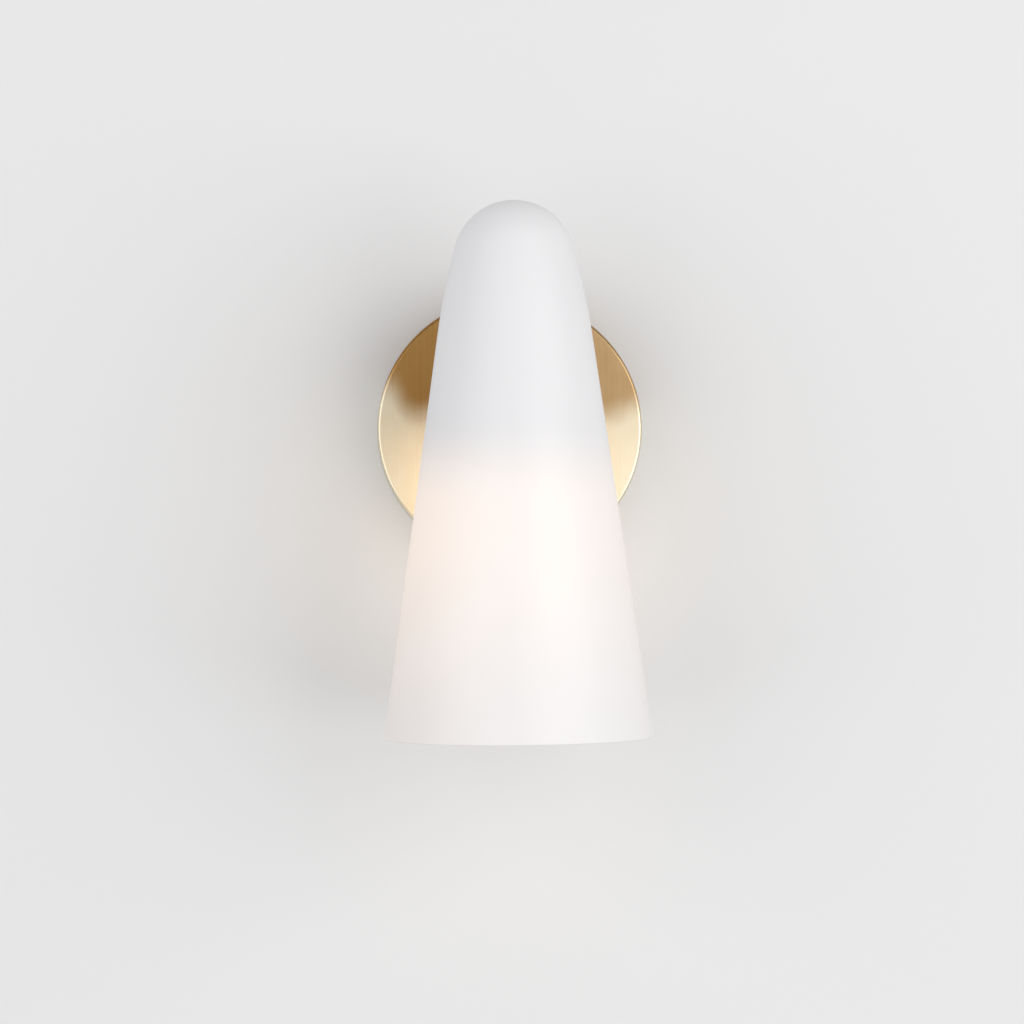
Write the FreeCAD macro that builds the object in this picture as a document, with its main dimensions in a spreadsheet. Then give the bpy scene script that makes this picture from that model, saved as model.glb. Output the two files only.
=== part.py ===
"""Brass and opal glass wall sconce, built as a parametric assembly.

Millimetres. +Z is up, the wall is the plane y = 0 and the light stands off it towards -Y.
The origin is the centre of the backplate's rear rim, at the height of the arm.
A piece on the arm is drawn as radius against distance from the wall and then turned to
face forward. A piece on the shade's axis is drawn as radius against height.
"""
import FreeCAD, Part
import math
import os

import Sketcher
from FreeCAD import Placement, Rotation, Vector

SIZES = {
    # backplate: a spun brass dish with an open back
    "plate_rad": 63.5,
    "plate_depth": 22.0,
    "plate_wall": 1.2,
    "plate_edge": 1.6,
    # shade: blown opal glass, domed at the top and open below
    "axis_reach": 95.0,
    "shade_rise": 104.0,
    "shade_drop": 144.0,
    "rim_rad": 62.0,
    "shade_wall": 3.0,
    "flare_angle": 8.05,
    "shoulder_rad": 310.0,
    "shoulder_inset": 2.58,
    "rim_ease": 0.6,
    "shade_hole_rad": 6.2,
    # clearances
    "thread_gap": 0.08,
    "slip_gap": 0.2,
    "soft_gap": 0.3,
    # threaded pipe through the whole arm
    "pipe_rad": 4.9,
    "pipe_bore": 3.5,
    "pipe_tail": 9.0,
    "pipe_into_hub": 4.5,
    # wall bracket
    "bracket_width": 20.0,
    "bracket_thick": 2.0,
    "bracket_bend": 1.0,
    "tab_length": 14.0,
    "tab_gap": 0.4,
    "slot_rad": 2.3,
    "slot_near": 34.925,
    "slot_far": 44.45,
    "feed_hole_rad": 8.0,
    "side_screw_height": 8.0,
    "side_screw_rad": 2.0,
    "side_head_rad": 3.6,
    "side_head_thick": 2.2,
    "side_screw_past": 3.0,
    "driver_slot": 0.9,
    "driver_depth": 1.0,
    "earth_drop": 24.0,
    "earth_screw_rad": 2.0,
    "earth_head_rad": 3.8,
    "earth_head_thick": 2.4,
    # terminal block
    "block_low": 14.0,
    "block_tall": 13.0,
    "block_width": 19.0,
    "block_deep": 12.0,
    "block_notch": 3.0,
    "block_notch_deep": 2.0,
    "block_screw_rad": 1.2,
    "block_head_rad": 2.0,
    "block_head_thick": 1.6,
    "block_sink": 6.0,
    "pole_half": 5.0,
    "pole_screw_rad": 1.6,
    "pole_screw_deep": 4.5,
    "pole_well_rad": 2.0,
    "pole_well_deep": 8.0,
    "entry_deep": 4.0,
    # nuts and washers on the pipe
    "nut_flats": 14.0,
    "nut_thick": 4.0,
    "washer_rad": 9.0,
    "washer_thick": 1.0,
    # brass sleeve and its collar
    "arm_rad": 6.35,
    "arm_bore": 5.2,
    "collar_rad": 17.0,
    "collar_rim": 1.6,
    "collar_neck": 9.0,
    "collar_tall": 5.0,
    "collar_ease": 0.6,
    # clamp on the glass
    "cup_rad": 14.0,
    "cup_floor": 2.0,
    "cup_wall": 1.2,
    "cup_lip": 2.4,
    "cup_ease": 1.2,
    "gasket_rad": 12.4,
    "gasket_outside": 5.4,
    "inner_gasket_rad": 11.0,
    "gasket_inside": 5.0,
    "clamp_rad": 12.0,
    "clamp_thick": 1.5,
    "ring_rad": 11.0,
    "ring_thick": 6.0,
    "ring_ease": 0.8,
    "knurl_rad": 0.7,
    "knurl_count": 20,
    # hub on the shade's axis
    "hub_rad": 15.0,
    "hub_bore": 12.0,
    "hub_half": 12.5,
    "hub_floor": 3.0,
    "hub_lead_hole": 6.0,
    "hub_ease": 0.8,
    "cap_rim": 1.6,
    "cap_dome": 3.4,
    "cap_spigot": 3.0,
    # shield over the lamp
    "shield_gap": 2.6,
    "shield_thick": 1.2,
    "shield_lip": 3.0,
    "shield_bend": 1.0,
    # lampholder with two pin sockets
    "holder_rad": 10.5,
    "holder_tall": 14.0,
    "holder_ease": 1.0,
    "screw_reach": 7.4,
    "holder_screw_rad": 1.5,
    "holder_head_rad": 2.6,
    "holder_head_thick": 2.0,
    "holder_sink": 4.5,
    # lamp
    "pin_half": 4.5,
    "pin_width": 2.6,
    "pin_thick": 0.8,
    "pin_length": 9.0,
    "lamp_base_rad": 7.6,
    "lamp_base_tall": 6.5,
    "lamp_neck": 1.5,
    "lamp_rad": 8.2,
    "lamp_tall": 26.0,
    "lamp_glass": 0.9,
    "emitter_rad": 3.2,
    "emitter_tall": 15.0,
    # leads
    "lead_rad": 0.9,
    "lead_half": 1.3,
    "lead_bend": 5.0,
    "lead_end_half": 2.6,
}

# Lengths that several pieces share, as expressions on the sheet.
GLASS_AT_ARM = "(Dim.rim_rad - Dim.shade_drop * tan(Dim.flare_angle * 1deg))"
GLASS_DEEP = "(Dim.shade_wall / cos(Dim.flare_angle * 1deg))"
CONE_TIP = "(Dim.rim_rad - (Dim.shade_drop + Dim.shade_rise) * tan(Dim.flare_angle * 1deg))"
DOME_RAD = (f"(({CONE_TIP} * cos(Dim.flare_angle * 1deg) - Dim.shoulder_inset)"
            " / (1 - sin(Dim.flare_angle * 1deg)))")
GLASS_FRONT = f"(Dim.axis_reach - {GLASS_AT_ARM})"
GLASS_BACK = f"({GLASS_FRONT} + {GLASS_DEEP})"
CUP_FLOOR = f"({GLASS_FRONT} - Dim.gasket_outside)"
CUP_REAR = f"({CUP_FLOOR} - Dim.cup_floor)"
CLAMP_REAR = f"({GLASS_BACK} + Dim.gasket_inside)"
RING_REAR = f"({CLAMP_REAR} + Dim.clamp_thick)"
HUB_REAR = "(Dim.axis_reach - Dim.hub_rad)"
PLATE_BACK = "(Dim.plate_depth - Dim.plate_wall)"
COLLAR_FRONT = "(Dim.plate_depth + Dim.collar_tall)"
PIPE_REAR = f"({PLATE_BACK} - Dim.pipe_tail)"
PIPE_FRONT = f"({HUB_REAR} + Dim.pipe_into_hub)"
PIPE_HOLE = "(Dim.pipe_rad + Dim.slip_gap)"
PIPE_THREAD = "(Dim.pipe_rad + Dim.thread_gap)"
PLATE_BORE = "(Dim.plate_rad - Dim.plate_wall)"
TAB_TOP = f"(sqrt({PLATE_BORE}^2 - (Dim.bracket_width / 2)^2) - Dim.tab_gap)"
TAB_UNDER = f"({TAB_TOP} - Dim.bracket_thick)"
SHIELD_RAD = f"({GLASS_AT_ARM} - {GLASS_DEEP} - Dim.shield_gap)"
SHIELD_TOP = "(-Dim.hub_half)"
HOLDER_TOP = f"({SHIELD_TOP} - Dim.shield_thick)"
HOLDER_FOOT = f"({HOLDER_TOP} - Dim.holder_tall)"
LAMP_TOP = f"({HOLDER_FOOT} - Dim.soft_gap)"
LAMP_SHOULDER = f"({LAMP_TOP} - Dim.lamp_base_tall)"
BLOCK_MIDDLE = "(Dim.block_low + Dim.block_tall / 2)"

TO_FRONT = Rotation(Vector(1, 0, 0), 90)

doc = FreeCAD.newDocument("wall_sconce")
sheet = doc.addObject("Spreadsheet::Sheet", "Dim")
for row, (size_name, size) in enumerate(SIZES.items(), start=1):
    sheet.set(f"A{row}", size_name)
    sheet.set(f"B{row}", str(size))
    sheet.setAlias(f"B{row}", size_name)
doc.recompute()
nodes = []


def number(text):
    """Value of an expression on the sheet."""
    return float(sheet.evalExpression(text))


# ---------------------------------------------------------------- drawing helpers

def new_body(name):
    """Empty body, kept as a node of the assembly."""
    body = doc.addObject("PartDesign::Body", name)
    body.Label = name
    nodes.append(body)
    return body


def sketch_on(body, role, name):
    """Sketch on one of the body's own origin planes."""
    plane = origin_part(body, role)
    sketch = body.newObject("Sketcher::SketchObject", name)
    sketch.AttachmentSupport = [(plane, "")]
    sketch.MapMode = "FlatFace"
    return sketch


def origin_part(body, role):
    """Plane or axis of the body's origin, by its role."""
    return next(part for part in body.Origin.OriginFeatures if part.Role == role)


def bind(sketch, kind, where, text, first=None):
    """Dimension of a sketch, bound to an expression."""
    place = where if first is None else first + where
    index = sketch.addConstraint(Sketcher.Constraint(kind, *place, number(text)))
    sketch.setExpression(f"Constraints[{index}]", text)


def draw_outline(sketch, corners):
    """Closed outline of straight sides through corners given as (across, up) expressions."""
    first = sketch.GeometryCount
    spots = [Vector(number(across), number(up), 0) for across, up in corners]
    count = len(spots)
    for side in range(count):
        sketch.addGeometry(Part.LineSegment(spots[side], spots[(side + 1) % count]))
    for side in range(count):
        here = first + side
        following = first + (side + 1) % count
        sketch.addConstraint(Sketcher.Constraint("Coincident", here, 2, following, 1))
        across, up = corners[side]
        bind(sketch, "DistanceX", (-1, 1, here, 1), across)
        bind(sketch, "DistanceY", (-1, 1, here, 1), up)


def draw_circle(sketch, across, up, radius):
    """Circle whose centre and radius are expressions."""
    spot = Vector(number(across), number(up), 0)
    circle = sketch.addGeometry(Part.Circle(spot, Vector(0, 0, 1), number(radius)))
    bind(sketch, "DistanceX", (-1, 1, circle, 3), across)
    bind(sketch, "DistanceY", (-1, 1, circle, 3), up)
    bind(sketch, "Radius", (circle,), radius)


def box_corners(left, right, low, high):
    """Corners of an upright rectangle."""
    return [(left, low), (right, low), (right, high), (left, high)]


def revolve(body, sketch, kind="PartDesign::Revolution"):
    """Full turn of a sketch about its own upright axis."""
    turned_part = body.newObject(kind, f"{sketch.Name}_turn")
    turned_part.Profile = (sketch, [""])
    turned_part.ReferenceAxis = (sketch, ["V_Axis"])
    turned_part.Angle = 360
    doc.recompute()
    return turned_part


def turned(name, corners):
    """Body turned from an outline of (radius, along) corners."""
    body = new_body(name)
    sketch = sketch_on(body, "XZ_Plane", f"{name}_section")
    draw_outline(sketch, corners)
    revolve(body, sketch)
    return body


def pad(body, sketch, length, both_ways=False):
    """Pad of a sketch, as long as an expression says."""
    block = body.newObject("PartDesign::Pad", f"{sketch.Name}_pad")
    block.Profile = (sketch, [""])
    block.setExpression("Length", length)
    if both_ways:
        block.SideType = "Symmetric"
    doc.recompute()
    return block


def cut_through(body, sketch):
    """Pocket both ways through the whole body."""
    pocket = body.newObject("PartDesign::Pocket", f"{sketch.Name}_cut")
    pocket.Profile = (sketch, [""])
    pocket.Type = "ThroughAll"
    pocket.SideType = "Symmetric"
    doc.recompute()
    return pocket


def cut_blind(body, sketch, depth, reverse=False):
    """Pocket of a given depth."""
    pocket = body.newObject("PartDesign::Pocket", f"{sketch.Name}_cut")
    pocket.Profile = (sketch, [""])
    pocket.setExpression("Length", depth)
    pocket.Reversed = reverse
    doc.recompute()
    return pocket


def ease(body, base, edges, size, kind="PartDesign::Fillet"):
    """Fillet or chamfer on chosen edges of the last feature."""
    feature = body.newObject(kind, f"{base.Name}_ease")
    feature.Base = (base, edges)
    size_name = "Radius" if kind.endswith("Fillet") else "Size"
    feature.setExpression(size_name, size)
    doc.recompute()
    return feature


def round_edges(shape, radius, height):
    """Names of the circular edges of one radius about the Z axis, at one height."""
    found = []
    for index, edge in enumerate(shape.Edges, start=1):
        if edge.Degenerated or not isinstance(edge.Curve, Part.Circle):
            continue
        curve = edge.Curve
        same_radius = abs(curve.Radius - radius) < 1e-4
        if same_radius and abs(curve.Center.z - height) < 1e-4:
            found.append(f"Edge{index}")
    return found


def face_forward(body, along="0"):
    """Turn a body so that its own Z leaves the wall, a distance along."""
    body.Placement = Placement(Vector(0, 0, 0), TO_FRONT)
    body.setExpression(".Placement.Base.y", f"-({along})")


def on_shade_axis(body):
    """Carry a body out to the shade's axis."""
    body.setExpression(".Placement.Base.y", "-Dim.axis_reach")


def ring_corners(bore, radius, low, high):
    """Section of a plain ring."""
    return box_corners(bore, radius, low, high)


# ---------------------------------------------------------------- wall side

def make_bracket():
    """Steel strap with its two ends bent forward, slotted for the wall box."""
    body = new_body("wall_bracket")
    side = sketch_on(body, "YZ_Plane", "bracket_side")
    thick = "-Dim.bracket_thick"
    reach = "-Dim.tab_length"
    under = f"-{TAB_UNDER}"
    foot = f"-{TAB_TOP}"
    draw_outline(side, [
        ("0", foot), (reach, foot), (reach, under), (thick, under),
        (thick, TAB_UNDER), (reach, TAB_UNDER), (reach, TAB_TOP), ("0", TAB_TOP),
    ])
    strap = pad(body, side, "Dim.bracket_width", both_ways=True)
    ease(body, strap, bend_edges(strap.Shape), "Dim.bracket_bend")
    face = sketch_on(body, "XZ_Plane", "bracket_face")
    draw_circle(face, "0", "0", "Dim.feed_hole_rad")
    draw_circle(face, "0", "-Dim.earth_drop", "Dim.earth_screw_rad + Dim.thread_gap")
    draw_circle(face, "0", BLOCK_MIDDLE, "Dim.block_screw_rad + Dim.thread_gap")
    for sign in ("", "-"):
        draw_slot(face, f"{sign}Dim.slot_near", f"{sign}Dim.slot_far", "Dim.slot_rad")
    cut_through(body, face)
    tabs = sketch_on(body, "XY_Plane", "bracket_tabs")
    draw_circle(tabs, "0", "-Dim.side_screw_height", "Dim.side_screw_rad + Dim.thread_gap")
    cut_through(body, tabs)


def bend_edges(shape):
    """Outer edges of the two bends, along X at the strap's back."""
    found = []
    top = number(TAB_TOP)
    for index, edge in enumerate(shape.Edges, start=1):
        middle = edge.CenterOfMass
        if abs(middle.y) < 1e-4 and abs(abs(middle.z) - top) < 1e-4 and abs(middle.x) < 1e-4:
            found.append(f"Edge{index}")
    return found


def draw_slot(sketch, near, far, radius):
    """Upright slot on the centre line, between two centre heights."""
    low, high = sorted((number(near), number(far)))
    low_text, high_text = (near, far) if number(near) == low else (far, near)
    wide = number(radius)
    top = draw_arc(sketch, Vector(0, high, 0), wide, 0, math.pi)
    left = sketch.addGeometry(Part.LineSegment(Vector(-wide, high, 0), Vector(-wide, low, 0)))
    foot = draw_arc(sketch, Vector(0, low, 0), wide, math.pi, 2 * math.pi)
    right = sketch.addGeometry(Part.LineSegment(Vector(wide, low, 0), Vector(wide, high, 0)))
    for one, other in ((top, left), (left, foot), (foot, right), (right, top)):
        sketch.addConstraint(Sketcher.Constraint("Tangent", one, 2, other, 1))
    for arc, text in ((top, high_text), (foot, low_text)):
        sketch.addConstraint(Sketcher.Constraint("PointOnObject", arc, 3, -2))
        bind(sketch, "DistanceY", (-1, 1, arc, 3), text)
    bind(sketch, "Radius", (top,), radius)


def make_backplate():
    """Spun brass dish: flat face, rolled edge, rim that meets the wall."""
    body = turned("backplate", [
        (PIPE_HOLE, "Dim.plate_depth"), ("Dim.plate_rad", "Dim.plate_depth"),
        ("Dim.plate_rad", "0"), (PLATE_BORE, "0"),
        (PLATE_BORE, PLATE_BACK), (PIPE_HOLE, PLATE_BACK),
    ])
    dish = body.Tip
    edge = round_edges(dish.Shape, number("Dim.plate_rad"), number("Dim.plate_depth"))
    ease(body, dish, edge, "Dim.plate_edge")
    side = sketch_on(body, "XZ_Plane", "plate_side_holes")
    draw_circle(side, "0", "Dim.side_screw_height", "Dim.side_screw_rad + Dim.slip_gap")
    cut_through(body, side)
    face_forward(body)


def screw_corners(shank, head, under, tail, head_thick):
    """Section of a cheese-head screw, its head's seat at the height under."""
    top = f"({under} + {head_thick})"
    return [("0", tail), (shank, tail), (shank, under), (head, under), (head, top), ("0", top)]


def cut_driver_slot(body, seat, head, head_thick):
    """Straight slot across a screw's head."""
    slot = sketch_on(body, "XZ_Plane", f"{body.Name}_slot")
    top = f"({seat} + {head_thick})"
    half = "Dim.driver_slot / 2"
    draw_outline(slot, box_corners(f"-{half}", half, f"{top} - Dim.driver_depth", top))
    pocket = body.newObject("PartDesign::Pocket", f"{body.Name}_slot_cut")
    pocket.Profile = (slot, [""])
    pocket.setExpression("Length", f"2 * {head} + 2")
    pocket.SideType = "Symmetric"
    doc.recompute()
    return pocket


def make_side_screws():
    """Two screws through the plate's rim into the bracket's tabs, top and bottom."""
    tail = f"{TAB_UNDER} - Dim.side_screw_past"
    body = turned("backplate_screws", screw_corners(
        "Dim.side_screw_rad", "Dim.side_head_rad", "Dim.plate_rad", tail, "Dim.side_head_thick"))
    screw = body.Tip
    slot = cut_driver_slot(body, "Dim.plate_rad", "Dim.side_head_rad", "Dim.side_head_thick")
    mirror = body.newObject("PartDesign::Mirrored", "backplate_screws_pair")
    mirror.Originals = [screw, slot]
    mirror.MirrorPlane = (origin_part(body, "XY_Plane"), [""])
    body.Tip = mirror
    doc.recompute()
    body.setExpression(".Placement.Base.y", "-Dim.side_screw_height")


def make_earth_screw():
    """Earth screw in the bracket."""
    body = turned("earth_screw", screw_corners(
        "Dim.earth_screw_rad", "Dim.earth_head_rad", "Dim.bracket_thick",
        "0", "Dim.earth_head_thick"))
    cut_driver_slot(body, "Dim.bracket_thick", "Dim.earth_head_rad", "Dim.earth_head_thick")
    face_forward(body)
    body.setExpression(".Placement.Base.z", "-Dim.earth_drop")


def make_terminal_block():
    """Two-pole block, waisted between its poles, with wells in front and entries below."""
    body = new_body("terminal_block")
    front = sketch_on(body, "XZ_Plane", "block_front")
    half = "Dim.block_width / 2"
    notch = "Dim.block_notch / 2"
    foot = "Dim.block_low"
    waist_foot = "Dim.block_low + Dim.block_notch_deep"
    top = "Dim.block_low + Dim.block_tall"
    waist_top = "Dim.block_low + Dim.block_tall - Dim.block_notch_deep"
    draw_outline(front, [
        (f"-{half}", foot), (f"-{notch}", foot), (f"-{notch}", waist_foot),
        (notch, waist_foot), (notch, foot), (half, foot),
        (half, top), (notch, top), (notch, waist_top),
        (f"-{notch}", waist_top), (f"-{notch}", top), (f"-{half}", top),
    ])
    pad(body, front, "Dim.block_deep")
    fixing = sketch_on(body, "XZ_Plane", "block_fixing")
    draw_circle(fixing, "0", BLOCK_MIDDLE, "Dim.block_screw_rad + Dim.slip_gap")
    cut_through(body, fixing)
    sink = sketch_on(body, "XZ_Plane", "block_sink_hole")
    sink.setExpression(".AttachmentOffset.Base.z", "Dim.block_deep")
    draw_circle(sink, "0", BLOCK_MIDDLE, "Dim.block_head_rad + Dim.slip_gap")
    cut_blind(body, sink, "Dim.block_sink")
    wells = sketch_on(body, "XZ_Plane", "block_wells")
    wells.setExpression(".AttachmentOffset.Base.z", "Dim.block_deep")
    for sign in ("", "-"):
        draw_circle(wells, f"{sign}Dim.pole_half", BLOCK_MIDDLE, "Dim.pole_well_rad")
    cut_blind(body, wells, "Dim.pole_well_deep")
    entries = sketch_on(body, "XY_Plane", "block_entries")
    entries.setExpression(".AttachmentOffset.Base.z", "Dim.block_low")
    for sign in ("", "-"):
        draw_circle(entries, f"{sign}Dim.pole_half", "-Dim.block_deep / 2",
                    "Dim.lead_rad + Dim.slip_gap")
    cut_blind(body, entries, "Dim.entry_deep", reverse=True)
    body.setExpression(".Placement.Base.y", "-Dim.bracket_thick")


def make_terminal_screws():
    """Clamping screws at the bottom of the block's two wells."""
    body = new_body("terminal_screws")
    seat = sketch_on(body, "XZ_Plane", "terminal_seat")
    for sign in ("", "-"):
        draw_circle(seat, f"{sign}Dim.pole_half", BLOCK_MIDDLE, "Dim.pole_screw_rad")
    pad(body, seat, "Dim.pole_screw_deep")
    body.setExpression(
        ".Placement.Base.y", "-(Dim.bracket_thick + Dim.block_deep - Dim.pole_well_deep)")


def make_block_screw():
    """Screw that holds the block on the strap, its head sunk between the poles."""
    seat = "(Dim.bracket_thick + Dim.block_deep - Dim.block_sink)"
    body = turned("block_screw", screw_corners(
        "Dim.block_screw_rad", "Dim.block_head_rad", seat, "0", "Dim.block_head_thick"))
    cut_driver_slot(body, seat, "Dim.block_head_rad", "Dim.block_head_thick")
    face_forward(body)
    body.setExpression(".Placement.Base.z", BLOCK_MIDDLE)


# ---------------------------------------------------------------- arm

def make_pipe():
    """Threaded pipe that draws the whole arm together and carries the leads."""
    body = turned("threaded_pipe", ring_corners(
        "Dim.pipe_bore", "Dim.pipe_rad", PIPE_REAR, PIPE_FRONT))
    face_forward(body)


def make_nut(name, low):
    """Hexagon nut on the pipe, its rear face at the distance low."""
    body = new_body(name)
    face = sketch_on(body, "XY_Plane", f"{name}_hexagon")
    flat = "(Dim.nut_flats / 2)"
    corner = "(Dim.nut_flats / 2 / cos(30deg))"
    half = f"({corner} / 2)"
    draw_outline(face, [
        (corner, "0"), (half, flat), (f"-{half}", flat),
        (f"-{corner}", "0"), (f"-{half}", f"-{flat}"), (half, f"-{flat}"),
    ])
    draw_circle(face, "0", "0", PIPE_THREAD)
    pad(body, face, "Dim.nut_thick")
    face_forward(body, low)


def make_plate_washer():
    """Washer between the nut and the back of the plate."""
    body = turned("plate_washer", ring_corners(
        PIPE_HOLE, "Dim.washer_rad", f"{PLATE_BACK} - Dim.washer_thick", PLATE_BACK))
    face_forward(body)


def make_collar():
    """Turned collar at the foot of the arm, sloping from its rim to its neck."""
    body = turned("arm_collar", [
        (PIPE_HOLE, "Dim.plate_depth"), ("Dim.collar_rad", "Dim.plate_depth"),
        ("Dim.collar_rad", "Dim.plate_depth + Dim.collar_rim"),
        ("Dim.collar_neck", COLLAR_FRONT), (PIPE_HOLE, COLLAR_FRONT),
    ])
    blank = body.Tip
    rim = number("Dim.plate_depth + Dim.collar_rim")
    edges = round_edges(blank.Shape, number("Dim.collar_rad"), rim)
    edges += round_edges(blank.Shape, number("Dim.collar_neck"), number(COLLAR_FRONT))
    ease(body, blank, edges, "Dim.collar_ease")
    face_forward(body)


def make_arm():
    """Brass sleeve over the pipe, from the collar to the cup behind the glass."""
    body = turned("arm_sleeve", ring_corners("Dim.arm_bore", "Dim.arm_rad", COLLAR_FRONT, CUP_REAR))
    face_forward(body)


def make_cup():
    """Shallow cup that holds the outer gasket against the glass."""
    lip = f"{CUP_FLOOR} + Dim.cup_lip"
    inside = "Dim.cup_rad - Dim.cup_wall"
    body = turned("shade_cup", [
        (PIPE_HOLE, CUP_REAR), ("Dim.cup_rad", CUP_REAR), ("Dim.cup_rad", lip),
        (inside, lip), (inside, CUP_FLOOR), (PIPE_HOLE, CUP_FLOOR),
    ])
    blank = body.Tip
    edges = round_edges(blank.Shape, number("Dim.cup_rad"), number(CUP_REAR))
    ease(body, blank, edges, "Dim.cup_ease")
    face_forward(body)


def make_outer_gasket():
    """Rubber ring in the cup, its front face hollowed to the cone of the glass."""
    body = turned("outer_gasket", ring_corners(
        PIPE_HOLE, "Dim.gasket_rad", CUP_FLOOR, f"{GLASS_FRONT} + Dim.gasket_inside"))
    saddle = sketch_on(body, "YZ_Plane", "outer_saddle")
    out_rad = f"({GLASS_AT_ARM} + Dim.soft_gap)"
    rise = "(2 * Dim.gasket_rad * tan(Dim.flare_angle * 1deg))"
    draw_cone(saddle, f"{out_rad} - {rise}", f"{out_rad} + {rise}", "2 * Dim.gasket_rad")
    groove_on_shade_axis(body, saddle)
    face_forward(body)


def make_inner_gasket():
    """Rubber ring inside the shade, its rear face rounded to the cone of the glass."""
    body = turned("inner_gasket", ring_corners(
        PIPE_HOLE, "Dim.inner_gasket_rad", f"{GLASS_FRONT} - Dim.gasket_inside", CLAMP_REAR))
    saddle = sketch_on(body, "YZ_Plane", "inner_saddle")
    in_rad = f"({GLASS_AT_ARM} - {GLASS_DEEP} - Dim.soft_gap)"
    rise = "(2 * Dim.gasket_rad * tan(Dim.flare_angle * 1deg))"
    half = "2 * Dim.gasket_rad"
    far = f"{GLASS_AT_ARM} + 2 * Dim.gasket_rad"
    place_saddle(saddle)
    draw_outline(saddle, [
        (f"{in_rad} + {rise}", f"-{half}"), (far, f"-{half}"),
        (far, half), (f"{in_rad} - {rise}", half),
    ])
    groove_on_shade_axis(body, saddle)
    face_forward(body)


def place_saddle(sketch):
    """Put the sketch's upright axis on the shade's axis."""
    sketch.AttachmentOffset = Placement(Vector(0, 0, 0), Rotation(Vector(0, 0, 1), -90))
    sketch.setExpression(".AttachmentOffset.Base.y", "Dim.axis_reach")


def draw_cone(sketch, high_rad, low_rad, half):
    """Section of the solid cone inside the glass, about the shade's axis."""
    place_saddle(sketch)
    draw_outline(sketch, [
        ("0", f"-{half}"), (low_rad, f"-{half}"), (high_rad, half), ("0", half),
    ])


def groove_on_shade_axis(body, sketch):
    """Take away a full turn of the section about the shade's axis."""
    revolve(body, sketch, "PartDesign::Groove")


def make_clamp_washer():
    """Stiff washer between the inner gasket and the ring nut."""
    body = turned("clamp_washer", ring_corners(PIPE_HOLE, "Dim.clamp_rad", CLAMP_REAR, RING_REAR))
    face_forward(body)


def make_ring_nut():
    """Knurled ring nut that is tightened by hand inside the shade."""
    front = f"{RING_REAR} + Dim.ring_thick"
    body = turned("ring_nut", ring_corners(PIPE_THREAD, "Dim.ring_rad", RING_REAR, front))
    ring = body.Tip
    edges = round_edges(ring.Shape, number("Dim.ring_rad"), number(front))
    ease(body, ring, edges, "Dim.ring_ease", "PartDesign::Chamfer")
    notch = sketch_on(body, "XY_Plane", "ring_notch")
    draw_circle(notch, "Dim.ring_rad + Dim.knurl_rad / 3", "0", "Dim.knurl_rad")
    cut = cut_through(body, notch)
    pattern = body.newObject("PartDesign::PolarPattern", "ring_knurl")
    pattern.Originals = [cut]
    pattern.Axis = (origin_part(body, "Z_Axis"), [""])
    pattern.Angle = 360
    pattern.setExpression("Occurrences", "Dim.knurl_count")
    body.Tip = pattern
    doc.recompute()
    face_forward(body)


# ---------------------------------------------------------------- shade

def shade_curve():
    """Join of dome and shoulder, join of shoulder and cone, and the shoulder's centre."""
    lean = math.radians(number("Dim.flare_angle"))
    dome = number(DOME_RAD)
    shoulder = number("Dim.shoulder_rad")
    rim = Vector(number("Dim.rim_rad"), -number("Dim.shade_drop"), 0)
    centre = Vector(0, number("Dim.shade_rise") - dome, 0)
    inward = Vector(-math.cos(lean), -math.sin(lean), 0)
    along = Vector(-math.sin(lean), math.cos(lean), 0)
    start = rim + inward * shoulder
    offset = start - centre
    spread = offset.dot(along)
    constant = offset.dot(offset) - (shoulder - dome) ** 2
    run = -spread - math.sqrt(spread ** 2 - constant)
    middle = start + along * run
    dome_join = middle + (centre - middle).normalize() * shoulder
    cone_join = middle - inward * shoulder
    return centre, middle, dome_join, cone_join, rim


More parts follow.
